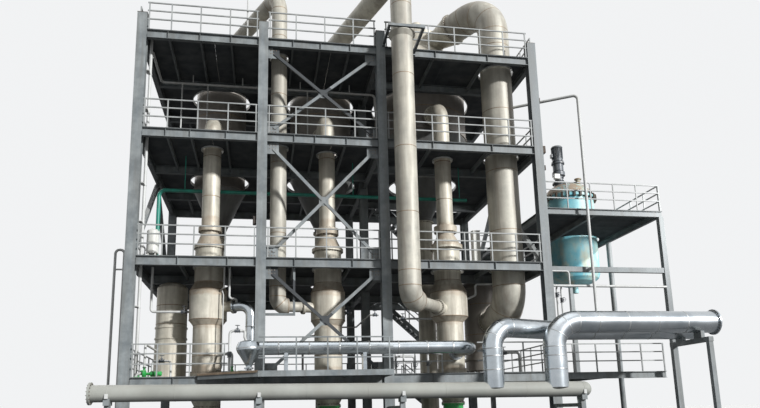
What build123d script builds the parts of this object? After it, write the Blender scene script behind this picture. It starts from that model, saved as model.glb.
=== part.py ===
from build123d import *
import os
from math import atan2, cos, degrees, hypot, pi, radians, sin

# Three-effect forced-circulation evaporator in its steel frame, with the crystalliser bay beside it.
# Millimetres. X runs along the front, Y goes back into the plant, Z is up.
# The origin is the middle of the underside of the base plate of the front left column.

# Grid of the steel frame
column_line = [0, 4350, 8800, 15000]
row_depth = 9650
middle_row = 4825
level_top = [2800, 6900, 11550, 15350]
column_top = 16000

# Sections of the frame
column_size = 350
column_web = 14
column_flange = 20
base_plate_size = 560
base_plate_thickness = 30
beam_depth = 320
beam_width = 180
beam_web = 10
beam_flange = 16
joist_depth = 200
joist_width = 60
deck_thickness = 12
deck_joint = 4
stiffener_thickness = 10
brace_size = 110
brace_gusset = 420
gusset_thickness = 14
seat_gap = 0.4

# Stairs behind the last bay
stair_right = 14300
stair_longest = 4550
stair_depth = [row_depth - 1900, row_depth - 1000]
stair_going = 240
stair_rise = 205

# Handrails
rail_height = 1100
rail_size = 42
post_size = 44
mid_rail_heights = [420, 760]
rail_inset = 30
post_spacing = 1050
front_posts = [
    [235, 1020, 2060, 3120, 4115],
    [4585, 5560, 6650, 7750, 8565],
    [9035, 9750, 10740, 11800, 12850, 13820, 14765],
]

# Heaters, one for each effect
heater_x = [2465, 6865, 11605]
heater_y = 1675
heater_diameter = 1040
heater_wall = 16
belt_diameter = [1350, 1290, 1460]
belt_low = [4910, 4890, 5030]
belt_high = [6000, 5970, 5990]
belt_shoulder = [290, 330, 470]
heater_foot = 2950
foot_flange_height = 60
foot_flange_width = 60
channel_flange_low = [7580, 7550, 7750]
channel_flange_height = [110, 110, 160]
channel_flange_diameter = [1140, 1200, 1280]
bottom_channel_low = 1750

# Risers from the heaters to the separators
riser_diameter = [660, 630, 660]
cover_diameter = [1020, 1060, 1160]
cover_height = [470, 480, 440]
riser_flange_gap = [80, 90, 100]
riser_flange_height = [160, 240, 240]
riser_flange_diameter = [870, 860, 920]
riser_bend = 660
riser_level = [12690, 13060, 13900]
riser_end_gap = [430, 430, 350]

# Separators
separator_x = [2525, 6945, 11575]
separator_y = [5325, 5325, 5025]
separator_diameter = [2150, 2770, 4200]
separator_wall = 16
separator_low = [11000, 11750, 13500]
separator_high = [15850, 15800, 17000]
cone_outlet_diameter = [500, 550, 760]
cone_low = [9000, 9300, 9850]
head_height = [950, 700, 1000]
head_neck_diameter = [610, 800, 2500]
nozzle_height = 120
third_head_band = [18000, 18800]
third_head_top = 19500
third_head_neck = 560
floor_hole_diameter = [2500, 3050, 4500]
third_cone_hole = 3100

# Vapour ducts
duct_diameter = [610, 800, 1280]
duct_x = [4965, 9475, 13955]
duct_y = [1225, -925, 1225]
duct_top = [18150, 18150, 18600]
duct_start = [17550, 17500, 18250]
lower_bend_share = [0.57, 0.57, 0.85]
duct_flange_width = 70
duct_flange_thickness = 45
third_duct_reach = 2300
third_outlet_share = 0.75
inlet_level = [5380, 5310, 5100]
inlet_diameter = [380, 450, 900]
belt_nozzle_length = [330, 380]

# Condenser behind the last heater
condenser_x = 13775
condenser_y = 4125
condenser_diameter = 1500
condenser_low = 3100
condenser_high = 7050
condenser_rise = 330
condenser_leg = 140

# Circulation pumps and return pipes
pump_level = 900
pump_diameter = 760
pump_reach = 912
return_bend = 620
motor_diameter = 520
motor_length = 800
pump_foot_width = 700

# Small vessels
flash_tank_x = 1045
flash_tank_y = 2825
flash_tank_diameter = 1130
flash_tank_high = 6290
flash_tank_skirt = 1350

# Walkway in front of the middle bay
walkway_x = [4305, 8675]
walkway_depth = 1500
walkway_corner_x = 2300
walkway_top = 2850
walkway_beam_depth = 160
walkway_posts = [4475, 5505, 6515, 7475, 8545]

# Steam main along the walkway
steam_main_diameter = 450
steam_main_y = -1025
steam_main_z = 3630
steam_main_left = 3755
steam_branch_diameter = 380
steam_branch_x = 4020
steam_branch_y = 1025
drip_pot_x = 4010
drip_pot_low = 2960
drip_pot_diameter = 820

# Header in front of the frame
header_diameter = 500
header_y = -2225
header_z = 2220
header_fall = 130
header_x = [-475, 15225]
header_stand_x = [0, 4350, 8800, 14900]
supply_diameter = [660, 760]
supply_x = [11875, 14055]
supply_z = [4170, 4330]
supply_end = 20125
supply_offset = 1060
supply_offset_x = 14750
supply_stand_x = 19500

# Crystalliser bay at the right
annex_front = 175
annex_back = 8225
annex_floor_top = 9150
annex_low_top = 2800
annex_column = 200
annex_round_column = 230
annex_beam_depth = 240
annex_middle_beam = 6700
low_walk_y = 725
tank_x = 18780
annex_right = tank_x + 1345
tank_y = 5125
tank_diameter = 2300
tank_wall = 14
tank_low = 7500
tank_high = 11150
tank_rise = 520
tank_cover_rise = 800
agitator_x = tank_x - 380
agitator_foot = 830
agitator_height = 1925
lid_ring_height = 60

# Service lines
vent_diameter = 115
vent_level = 13840
service_level = 10100
service_y = 2425
rain_pipe_x = 245
rain_pipe_y = 525
rain_pipe_diameter = 110
loop_x = [-675, -375]


def i_section(depth, width, web, flange):
    pocket = Rectangle((width - web) / 2, depth - 2 * flange)
    shift = (width + web) / 4
    return Rectangle(width, depth) - Pos(shift, 0) * pocket - Pos(-shift, 0) * pocket


def member(start, end, section):
    start, end = Vector(*start), Vector(*end)
    heading = end - start
    flat = Vector(0, 0, 1).cross(heading)
    side = flat.normalized() if flat.length > 1 else Vector(1, 0, 0)
    plane = Plane(origin=start, x_dir=side, z_dir=heading.normalized())
    return extrude(plane * section, heading.length)


def box(x, y, z):
    size = (x[1] - x[0], y[1] - y[0], z[1] - z[0])
    centre = ((x[0] + x[1]) / 2, (y[0] + y[1]) / 2, (z[0] + z[1]) / 2)
    return Pos(*centre) * Box(*size)


def disc(centre, direction, diameter, thickness):
    plane = Plane(origin=centre, z_dir=direction)
    return extrude(plane * Circle(diameter / 2), thickness)


def pipe(points, diameter, bends):
    path = FilletPolyline(*points, radius=bends) if len(points) > 2 else Line(*points)
    plane = Plane(origin=path @ 0, z_dir=path % 0)
    return sweep(plane * Circle(diameter / 2), path=path)


def turned(profile, x, y):
    section = Plane.XZ * make_face(Polyline(*profile, close=True))
    return Pos(x, y, 0) * revolve(section, Axis.Z)


def ring(x, y, z, inner, outer, height):
    return turned([(inner, z), (outer, z), (outer, z + height), (inner, z + height)], x, y)


def toward(start, end):
    reach = hypot(end[0] - start[0], end[1] - start[1])
    return ((end[0] - start[0]) / reach, (end[1] - start[1]) / reach)


def step_out(start, heading, reach, z):
    return (start[0] + heading[0] * reach, start[1] + heading[1] * reach, z)


def save(name, solids):
    shape = solids[0] if len(solids) == 1 else Compound(children=solids)
    shape.label = name
    export_step(shape, f"parts/{name}.step")


# Columns stand on base plates, with their flanges to the front and the back.
half_column = column_size / 2
web_half = column_web / 2
bays = list(zip(column_line, column_line[1:]))


def column(x, y, foot, top):
    plane = Plane(origin=(x, y, foot), x_dir=(1, 0, 0), z_dir=(0, 0, 1))
    section = i_section(column_size, column_size, column_web, column_flange)
    reach = base_plate_size / 2
    plate = box((x - reach, x + reach), (y - reach, y + reach), (0, foot))
    return plate + extrude(plane * section, top - foot)


def front_columns():
    return [column(x, 0, base_plate_thickness, column_top) for x in column_line]


def rear_columns():
    rear = [column(x, row_depth, base_plate_thickness, column_top) for x in column_line]
    under_top = level_top[3] - deck_thickness
    middle = [column(x, middle_row, base_plate_thickness, under_top) for x in column_line[1:3]]
    return rear + middle


# Each floor has edge beams between the columns, cross beams on the column lines and joists.
rear_trim = stair_depth[0] - 300
trimmer_rows = [
    [(3300, 7300), (3300, 7300), (2450, rear_trim)],
    [(3300, 7300), (3300, 7300), (2450, rear_trim)],
    [(3625, 7025), (3625, 7025), (2625, rear_trim)],
    [(3625, 7025), (3625, 7025), (2625, rear_trim)],
]
joist_x = [
    [[1545, 3215], [5515, 7585], [10425, 12955]],
    [[1545, 3215], [5515, 7585], [10425, 12955]],
    [[975, 1815, 3065], [5505, 6265, 7435], [10745, 13110]],
    [[915, 2045, 3165], [5455, 6495, 7625], [10995, 13135]],
]


def stair_steps(level):
    low = level_top[level - 1] if level else 0
    count = round((level_top[level] - low) / stair_rise)
    return low, count, min(stair_going, stair_longest / count)


def well_left(level):
    low, count, going = stair_steps(level)
    return stair_right + 100 - count * going


def beam(start, end, top):
    section = i_section(beam_depth, beam_width, beam_web, beam_flange)
    z = top - deck_thickness - beam_depth / 2
    return member((*start, z), (*end, z), section)


def joist(x, y0, y1, top):
    low = top - deck_thickness - joist_depth
    half = joist_width / 2
    return box((x - half, x + half), (y0, y1), (low, top - deck_thickness))


def stiffened_edge(x0, x1, y, top, marks):
    edge = beam((x0, y), (x1, y), top)
    low = top - deck_thickness - beam_depth + beam_flange
    high = top - deck_thickness - beam_flange
    face = y - beam_width / 2 + 12
    for x in marks:
        edge += box((x - stiffener_thickness / 2, x + stiffener_thickness / 2), (face, y), (low, high))
    return edge


def floor_beams(level):
    top = level_top[level]
    solids = []
    front_y = -half_column + beam_width / 2 + 10
    rear_y = row_depth - front_y
    reach = beam_width / 2 + seat_gap
    for bay, (left, right) in enumerate(bays):
        x0, x1 = left + half_column, right - half_column
        solids.append(stiffened_edge(x0, x1, front_y, top, joist_x[level][bay]))
        solids.append(beam((x0, rear_y), (x1, rear_y), top))
        trim_front, trim_rear = trimmer_rows[level][bay]
        for y in (trim_front, trim_rear):
            solids.append(beam((left + reach, y), (right - reach, y), top))
        rear_joists = joist_x[level][bay]
        if bay == 2:
            rear_joists = [well_left(level) - joist_width / 2, stair_right + joist_width / 2]
        for x in joist_x[level][bay]:
            solids.append(joist(x, front_y + reach, trim_front - reach, top))
        for x in rear_joists:
            solids.append(joist(x, trim_rear + reach, rear_y - reach, top))
    for index, x in enumerate(column_line):
        stops = [0, middle_row, row_depth] if index in (1, 2) else [0, row_depth]
        for y0, y1 in zip(stops, stops[1:]):
            solids.append(beam((x, y0 + half_column), (x, y1 - half_column), top))
    return solids


# Floor plates lie on the beams, cut for the columns, the vessels and the pipes.
def floor_openings(level):
    holes = []
    for effect in range(3):
        x, y = separator_x[effect], separator_y[effect]
        clear = cone_outlet_diameter[effect] + 360
        riser_hole = riser_diameter[effect] + 180
        heater_hole = [heater_diameter + 60, cover_diameter[effect] + 140, riser_hole, 0][level]
        separator_hole = [clear, clear, floor_hole_diameter[effect], floor_hole_diameter[effect]][level]
        if level == 2 and effect == 2:
            separator_hole = third_cone_hole
        if heater_hole:
            holes.append((heater_x[effect], heater_y, heater_hole))
        holes.append((x, y, separator_hole))
    if level > 0:
        holes.append((duct_x[0], duct_y[0], duct_diameter[0] + 160))
        holes.append((duct_x[2], duct_y[2], duct_diameter[2] + 180))
        if level < 3:
            holes.append((rain_pipe_x, rain_pipe_y, rain_pipe_diameter + 60))
    if level == 1:
        holes.append((condenser_x, condenser_y, condenser_diameter + 160))
    return holes


def floor_plates(level):
    top = level_top[level]
    z = (top - deck_thickness, top)
    edge_x = (column_line[0] - half_column, column_line[3] + half_column)
    edge_y = (-half_column, row_depth + half_column)
    seams = [edge_x[0]] + column_line[1:3] + [edge_x[1]]
    gap = deck_joint / 2
    feet = [(x, y) for x in column_line for y in (0, row_depth)]
    if level < 3:
        feet += [(x, middle_row) for x in column_line[1:3]]
    reach = half_column + 6
    solids = []
    for bay, (x0, x1) in enumerate(zip(seams, seams[1:])):
        plate = box((x0 + gap, x1 - gap), edge_y, z)
        for x, y in feet:
            plate -= box((x - reach, x + reach), (y - reach, y + reach), z)
        for x, y, diameter in floor_openings(level):
            plate -= Pos(x, y, top - deck_thickness / 2) * Cylinder(diameter / 2, 3 * deck_thickness)
        plate -= box((well_left(level), stair_right), stair_depth, z)
        if level > 1:
            x, y = separator_x[bay], separator_y[bay]
            plate -= box((x - gap, x + gap), edge_y, z)
            plate -= box((x0, x1), (y - gap, y + gap), z)
        solids.extend(plate.solids())
    return solids


# Handrails are square posts with a top rail and two lower rails between the columns.
def rail_run(start, end, floor, marks=None):
    length = hypot(end[0] - start[0], end[1] - start[1])
    heading = toward(start, end)
    if marks is None:
        count = max(1, round(length / post_spacing))
        inner = length - post_size
        marks = [post_size / 2 + inner * index / count for index in range(count + 1)]
    square = Rectangle(post_size, post_size)
    bar = Rectangle(rail_size, rail_size)
    foot = step_out(start, heading, marks[0], floor)
    solid = member(foot, (foot[0], foot[1], floor + rail_height), square)
    for mark in marks[1:]:
        foot = step_out(start, heading, mark, floor)
        solid += member(foot, (foot[0], foot[1], floor + rail_height), square)
    for height in [rail_height - rail_size / 2] + mid_rail_heights:
        solid += member((*start, floor + height), (*end, floor + height), bar)
    return solid


def front_rail(bay, y, floor, x0, x1):
    marks = [x - x0 for x in front_posts[bay] if x0 < x < x1]
    return rail_run((x0, y), (x1, y), floor, marks)


def floor_railings():
    front_y = -half_column + rail_inset + post_size / 2
    rear_y = row_depth - front_y
    left_x, right_x = front_y, column_line[3] - front_y
    clear = half_column + seat_gap
    runs = []
    for level in range(4):
        floor = level_top[level]
        for bay, (left, right) in enumerate(bays):
            x0, x1 = left + clear, right - clear
            runs.append(rail_run((x0, rear_y), (x1, rear_y), floor))
            if level == 0 and bay == 0:
                runs.append(rail_run((x0, front_y), (3290, front_y), floor, [60, 845, 1885, 3000]))
            elif level == 0 and bay == 2:
                runs.append(front_rail(bay, front_y, floor, x0, 11150))
                runs.append(front_rail(bay, front_y, floor, 12060, x1))
            elif level > 0:
                runs.append(front_rail(bay, front_y, floor, x0, x1))
        for x in (left_x, right_x):
            runs.append(rail_run((x, clear), (x, row_depth - clear), floor))
    return runs


# Crosses brace the middle bay, and inverted Vs brace the two end frames.
def cross_brace(level):
    left, right = column_line[1], column_line[2]
    low, high = level_top[level], level_top[level + 1] - deck_thickness - beam_depth
    section = Rectangle(brace_size * 0.7, brace_size)
    inset = brace_gusset * 0.55
    x0, x1 = left + half_column + inset, right - half_column - inset
    cross = member((x0, 0, low + inset), (x1, 0, high - inset), section)
    cross += member((x0, 0, high - inset), (x1, 0, low + inset), section)
    y = (-gusset_thickness / 2, gusset_thickness / 2)
    size = brace_gusset
    for z in ((low, low + size), (high - size, high)):
        cross += box((left + web_half, left + half_column + size), y, z)
        cross += box((right - half_column - size, right - web_half), y, z)
    middle = ((left + right) / 2, (low + high) / 2)
    cross += box((middle[0] - 170, middle[0] + 170), y, (middle[1] - 170, middle[1] + 170))
    return cross


def chevron(x, low, high):
    section = Rectangle(side_brace_width, side_brace_width)
    apex = row_depth / 2
    size = brace_gusset
    foot = half_column + size * 0.6
    front = member((x, foot, low + size * 0.6), (x, apex - 140, high - 190), section)
    rear = member((x, row_depth - foot, low + size * 0.6), (x, apex + 140, high - 190), section)
    plate = (x - gusset_thickness / 2, x + gusset_thickness / 2)
    brace = front + rear + box(plate, (apex - 420, apex + 420), (high - 420, high))
    brace += box(plate, (half_column, half_column + size), (low, low + size))
    brace += box(plate, (row_depth - half_column - size, row_depth - half_column), (low, low + size))
    return brace


side_brace_width = 160
prop_level = 4880


def bracing():
    solids = [cross_brace(level) for level in range(3)]
    under_third = level_top[2] - deck_thickness - beam_depth
    for x in (column_line[0], column_line[3]):
        solids.append(chevron(x, level_top[1], under_third))
    return solids + [duct_guide(), duct_prop()]


# A bracket on the top floor steadies the second duct, and a prop hangs beside the first.
def duct_guide():
    z, front = level_top[3] + 140, duct_y[1] - duct_diameter[1] / 2 - 100
    x0, x1 = column_line[2] + 115, duct_x[1] + duct_diameter[1] / 2 + 330
    section = Rectangle(100, 100)
    guide = box((x0 - 50, x1 + 50), (front - 50, front + 50), (z - 50, z + 50))
    face, low = -half_column + 10, level_top[3] - 220
    guide += member((x1, front, z), (x1 - 120, face - 60, low), section)
    guide += box((x1 - 190, x1 - 50), (face - 80, face), (level_top[3] - 320, level_top[3] - 40))
    guide += member((x0, front, z), (x0, -half_column - 60, z - 60), section)
    return guide + box((x0 - 60, x0 + 60), (-half_column - 80, -half_column), (z - 160, z + 50))


def duct_prop():
    joist_low = level_top[1] - deck_thickness - joist_depth
    x, z = joist_x[1][1][0], prop_level
    prop = box((x - 40, x + 40), (100, 180), (z, joist_low))
    return prop + box((column_line[1] + half_column, x + 40), (100, 180), (z, z + 80))


# The walkway in front of the middle bay hangs on brackets from the first floor.
def front_walkway():
    x0, x1 = walkway_x
    y1 = -half_column
    y0 = y1 - walkway_depth
    top = walkway_top
    deck = box((x0, x1), (y0, y1), (top - deck_thickness, top))
    low = top - deck_thickness - walkway_beam_depth
    for x in (x0 + 45, (x0 * 2 + x1) / 3, (x0 + x1 * 2) / 3, x1 - 45):
        deck += box((x - 40, x + 40), (y0, y1), (low, top - deck_thickness))
    deck += box((x0, x1), (y0, y0 + 12), (low, top + 15))
    corner = make_face(Polyline((walkway_corner_x, y1), (x0, y1), (x0, y0), close=True))
    deck += Pos(0, 0, top - deck_thickness) * extrude(corner, deck_thickness)
    middle = (low + top + 15) / 2
    start, end = (walkway_corner_x + 40, y1 - 30, middle), (x0 + 3, y0 + 6, middle)
    deck += member(start, end, Rectangle(12, top + 15 - low))
    deck += box((x0 - 720, x0 - 640), (y1 - 800, y1), (low, top - deck_thickness))
    y = y0 + rail_inset + post_size / 2
    rail = rail_run((x0, y), (x1, y), top, [x - x0 for x in walkway_posts])
    return [deck + rail]


# Heaters: a tube shell with a wide vapour belt, flanged at both ends.
def belt_inlet(effect):
    start = (heater_x[effect], heater_y)
    if effect == 0:
        corner = (steam_branch_x, steam_branch_y)
        return start, toward(start, corner), inlet_diameter[0], belt_nozzle_length[0], inlet_level[0]
    corner = (duct_x[effect - 1], duct_y[effect - 1])
    heading = toward(start, corner)
    return start, heading, inlet_diameter[effect - 1], belt_nozzle_length[effect - 1], inlet_level[effect - 1]


def heater_shell(effect):
    x, r = heater_x[effect], heater_diameter / 2
    belt = belt_diameter[effect] / 2
    low, high = belt_low[effect], belt_high[effect]
    foot = heater_foot
    flange_low = channel_flange_low[effect]
    wide = channel_flange_diameter[effect] / 2
    foot_wide = r + foot_flange_width
    inner = r - heater_wall
    middle = flange_low + channel_flange_height[effect] / 2
    outline = [
        (inner, foot), (foot_wide, foot), (foot_wide, foot + foot_flange_height),
        (r, foot + foot_flange_height), (r, low - 200), (belt, low), (belt, high),
        (r, high + belt_shoulder[effect]), (r, flange_low),
        (wide, flange_low), (wide, middle), (inner, middle),
    ]
    shell = turned(outline, x, heater_y)
    start, heading, bore, length, level = belt_inlet(effect)
    nozzle = disc(step_out(start, heading, belt - 40, level), (*heading, 0), bore, length + 40)
    rim = bore + 2 * duct_flange_width
    reach = belt + length - duct_flange_thickness
    nozzle += disc(step_out(start, heading, reach, level), (*heading, 0), rim, duct_flange_thickness)
    if effect == 2:
        nozzle += disc((x, heater_y - r - 180, steam_main_z), (0, 1, 0), steam_main_diameter, 200)
        collar = steam_main_diameter + 2 * duct_flange_width
        nozzle += disc((x, heater_y - r - 180, steam_main_z), (0, 1, 0), collar, duct_flange_thickness)
    return [shell + nozzle]


# Bottom channels go down through the first floor to the circulation pumps.
def heater_bottom(effect):
    x, r = heater_x[effect], heater_diameter / 2
    outlet = pump_diameter / 2
    wide = r + foot_flange_width
    low = bottom_channel_low
    outline = [
        (0, low), (outlet + 60, low), (outlet + 60, low + 50), (outlet, low + 50), (r, low + 320),
        (r, heater_foot - foot_flange_height), (wide, heater_foot - foot_flange_height), (wide, heater_foot),
        (0, heater_foot),
    ]
    return turned(outline, x, heater_y)


# The channel cover narrows to the riser, which turns back into the separator.
def riser_pipe(effect):
    x, r = heater_x[effect], riser_diameter[effect] / 2
    wide = channel_flange_diameter[effect] / 2
    base = channel_flange_low[effect] + channel_flange_height[effect] / 2
    rim = base + channel_flange_height[effect] / 2
    shoulder = cover_diameter[effect] / 2
    neck = rim + cover_height[effect]
    flange = riser_flange_diameter[effect] / 2
    flange_low = neck + riser_flange_gap[effect]
    flange_high = flange_low + riser_flange_height[effect]
    outline = [
        (0, base), (wide, base), (wide, rim), (shoulder, rim), (r, neck), (r, flange_low),
        (flange, flange_low), (flange, flange_high),
        (r, flange_high), (r, flange_high + 60), (0, flange_high + 60),
    ]
    cover = turned(outline, x, heater_y)
    end_y = riser_end(effect)
    level = riser_level[effect]
    points = [(x, heater_y, flange_high), (x, heater_y, level), (x, end_y, level)]
    run = pipe(points, 2 * r, riser_bend)
    start = (x, end_y - duct_flange_thickness, level)
    return cover + run + disc(start, (0, 1, 0), riser_flange_diameter[effect], duct_flange_thickness)


def riser_end(effect):
    return separator_y[effect] - separator_diameter[effect] / 2 - riser_end_gap[effect]


# Separators: a cylinder with its head and cone as pieces of their own.
def inlet_stub(effect):
    start = (separator_x[effect], riser_end(effect), riser_level[effect])
    stub = disc(start, (0, 1, 0), riser_diameter[effect], riser_end_gap[effect] + 500)
    return stub + disc(start, (0, 1, 0), riser_flange_diameter[effect], duct_flange_thickness)


def separator_shell(effect):
    x, y = separator_x[effect], separator_y[effect]
    r = separator_diameter[effect] / 2
    low, high = separator_low[effect], separator_high[effect]
    shell = ring(x, y, low, r - separator_wall, r, high - low)
    middle = (low + high) / 2
    shell += inlet_stub(effect) - Pos(x, y, middle) * Cylinder(r - separator_wall / 2, high - low)
    shell += ring(x, y, low + 40, r - separator_wall / 2, r + 45, 60)
    return [shell]


def separator_cone(effect):
    x, y = separator_x[effect], separator_y[effect]
    r, outlet = separator_diameter[effect] / 2, cone_outlet_diameter[effect] / 2
    top, low = separator_low[effect], cone_low[effect]
    wall = separator_wall
    outline = [
        (outlet - wall, low), (outlet + 70, low), (outlet + 70, low + 45), (outlet, low + 45),
        (outlet, low + 150), (r, top), (r - wall, top), (outlet - wall, low + 150 + wall),
    ]
    return turned(outline, x, y)


def separator_head(effect):
    x, y = separator_x[effect], separator_y[effect]
    r, base = separator_diameter[effect] / 2, separator_high[effect]
    wall = separator_wall
    if effect < 2:
        neck = head_neck_diameter[effect] / 2
        top = base + head_height[effect]
        rim = top + nozzle_height
        outline = [
            (r - wall, base), (r, base), (r * 0.96, base + 200), (r * 0.8, base + 380),
            (neck, top - 40), (neck, rim - 45),
            (neck + duct_flange_width, rim - 45), (neck + duct_flange_width, rim), (neck - 12, rim),
            (neck - 12, top - 50), (r * 0.8 - wall, base + 370), (r * 0.96 - wall, base + 190),
        ]
        return turned(outline, x, y)
    band = head_neck_diameter[2] / 2
    low, high = third_head_band
    neck, top = third_head_neck / 2, third_head_top
    outline = [
        (r, base), (band, low), (band, high), (neck, top), (neck, top + 120), (neck + 60, top + 120),
        (neck + 60, top + 180), (240, top + 180), (240, top + 300), (0, top + 300), (0, top + 160),
        (neck - wall, top + 100), (neck - wall, top),
        (band - wall, high - 8), (band - wall, low + 8), (r - wall, base),
    ]
    inner = [(0, base), (r - wall, base), (band - wall, low + 8)]
    inner += [(band - wall, high - 8), (neck - wall, top), (0, top)]
    start, direction = third_outlet()
    bore = duct_diameter[2]
    narrow = bore * third_outlet_share
    cone_start = band + 200
    cone_length = third_duct_reach - cone_start - 200
    nozzle = disc(start, direction, narrow, cone_start + 20) - turned(inner, x, y)
    nozzle = max(nozzle.solids(), key=lambda piece: piece.volume)
    opening = degrees(atan2((bore - narrow) / 2, cone_length))
    widen = Plane(origin=start + direction * cone_start, z_dir=direction) * Circle(narrow / 2)
    nozzle += extrude(widen, cone_length, taper=-opening)
    nozzle += disc(start + direction * (third_duct_reach - 220), direction, bore, 200)
    rim = start + direction * (third_duct_reach - duct_flange_thickness)
    nozzle += disc(rim, direction, bore + 2 * duct_flange_width, duct_flange_thickness)
    return turned(outline, x, y) + nozzle


def third_outlet():
    start = Vector(separator_x[2], separator_y[2], duct_start[2])
    corner = Vector(duct_x[2], duct_y[2], duct_top[2])
    return start, (corner - start).normalized()


# Vapour ducts run from a separator head over the top floor and down to the next vessel.
def vapour_duct(effect):
    corner = (duct_x[effect], duct_y[effect])
    bore = duct_diameter[effect]
    bend = bore * 1.05
    last_bend = bore * lower_bend_share[effect]
    rim = bore + 2 * duct_flange_width
    if effect < 2:
        x, y = separator_x[effect], separator_y[effect]
        low = separator_high[effect] + head_height[effect] + nozzle_height
        points = [(x, y, low), (x, y, duct_start[effect])]
        bends = [bend * 0.9, bend, last_bend]
        body_rim = disc((x, y, low), (0, 0, 1), rim, duct_flange_thickness)
        target = (heater_x[effect + 1], heater_y)
        face = belt_diameter[effect + 1] / 2 + belt_nozzle_length[effect]
    else:
        start, direction = third_outlet()
        begin = start + direction * third_duct_reach
        points = [(begin.X, begin.Y, begin.Z)]
        bends = [bend, last_bend]
        body_rim = disc(begin, direction, rim, duct_flange_thickness)
        target, face = (condenser_x, condenser_y), condenser_diameter / 2 + 150
    level = inlet_level[effect]
    back = toward(target, corner)
    run_out = hypot(target[0] - corner[0], target[1] - corner[1]) - face
    joint = step_out(corner, back, -(last_bend + 40), level)
    points += [(*corner, duct_top[effect]), (*corner, level), joint]
    body = pipe(points, bore, bends) + body_rim
    if effect == 1:
        r, low = bore / 2, level_top[3] - 130
        wide, high = r + 110, low + 210
        body += turned([(r - 30, low), (r, low), (wide, high - 40), (wide, high), (r - 30, high)], *corner)
    small = inlet_diameter[effect]
    body += disc(joint, (-back[0], -back[1], 0), small, run_out - last_bend - 40)
    collar = small + 2 * duct_flange_width
    body += disc(step_out(target, back, face, level), (*back, 0), collar, duct_flange_thickness)
    return [body]


# Downcomers carry the liquor from the cones to the pumps.
def downcomer(effect):
    x, y = separator_x[effect], separator_y[effect]
    d = cone_outlet_diameter[effect]
    top = cone_low[effect]
    heading = toward((x, y), (heater_x[effect], heater_y))
    finish = step_out((heater_x[effect], heater_y), heading, -pump_reach, pump_level)
    run = pipe([(x, y, top - 10), (x, y, pump_level), finish], d, return_bend)
    run += disc((x, y, top - 45), (0, 0, 1), d + 140, 45)
    return run + disc(finish, (-heading[0], -heading[1], 0), pump_diameter + 120, 50)


def circulation_pump(effect):
    x, y = heater_x[effect], heater_y
    heading = toward((separator_x[effect], separator_y[effect]), (x, y))
    inlet = step_out((x, y), heading, -pump_reach, pump_level)
    casing = pipe([inlet, (x, y, pump_level), (x, y, bottom_channel_low)], pump_diameter, pump_diameter * 0.7)
    casing += disc(inlet, (*heading, 0), pump_diameter + 120, 50)
    casing += disc((x, y, bottom_channel_low - 50), (0, 0, 1), pump_diameter + 120, 50)
    casing += disc((x, y, pump_level), (*heading, 0), 300, 900)
    casing += disc(step_out((x, y), heading, 880, pump_level), (*heading, 0), motor_diameter, motor_length)
    half = pump_foot_width / 2
    casing += box((x - half, x + half), (y - 1650, y + 500), (0, 200))
    casing += box((x - 200, x + 200), (y - 1550, y - 1000), (150, pump_level))
    return casing + box((x - 160, x + 160), (y - 160, y + 160), (150, pump_level))


def condenser():
    r = condenser_diameter / 2
    x, y = condenser_x, condenser_y
    peak = condenser_high + condenser_rise
    outline = [
        (0, condenser_low), (r, condenser_low), (r, condenser_high), (r * 0.9, condenser_high + 150),
        (r * 0.6, condenser_high + 270), (0, peak),
    ]
    body = turned(outline, x, y)
    for z in (condenser_low + 420, condenser_high - 450):
        body += ring(x, y, z, r - 10, r + 70, 90)
    heading = toward((x, y), (duct_x[2], duct_y[2]))
    bore = inlet_diameter[2]
    start = step_out((x, y), heading, r * 0.5, inlet_level[2])
    body += disc(start, (*heading, 0), bore, r * 0.5 + 150)
    rim = step_out((x, y), heading, r + 150 - duct_flange_thickness, inlet_level[2])
    body += disc(rim, (*heading, 0), bore + 2 * duct_flange_width, duct_flange_thickness)
    half = condenser_leg / 2
    for angle in (45, 135, 225, 315):
        lx, ly = x + r * 0.8 * cos(radians(angle)), y + r * 0.8 * sin(radians(angle))
        body += box((lx - half, lx + half), (ly - half, ly + half), (level_top[0], condenser_low + 20))
    return [body]


def flash_tank():
    r = flash_tank_diameter / 2
    x, y, low = flash_tank_x, flash_tank_y, level_top[0]
    body = turned([
        (0, low), (r + 45, low), (r + 45, low + 30), (r + 20, low + 30), (r + 20, low + flash_tank_skirt),
        (r, low + flash_tank_skirt + 50), (r, flash_tank_high),
        (r * 0.85, flash_tank_high + 120), (r * 0.5, flash_tank_high + 210), (0, flash_tank_high + 240),
    ], x, y)
    for z in (low + flash_tank_skirt + 180, low + flash_tank_skirt + 590):
        body += ring(x, y, z, r - 10, r + 30, 55)
    return [body]


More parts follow.
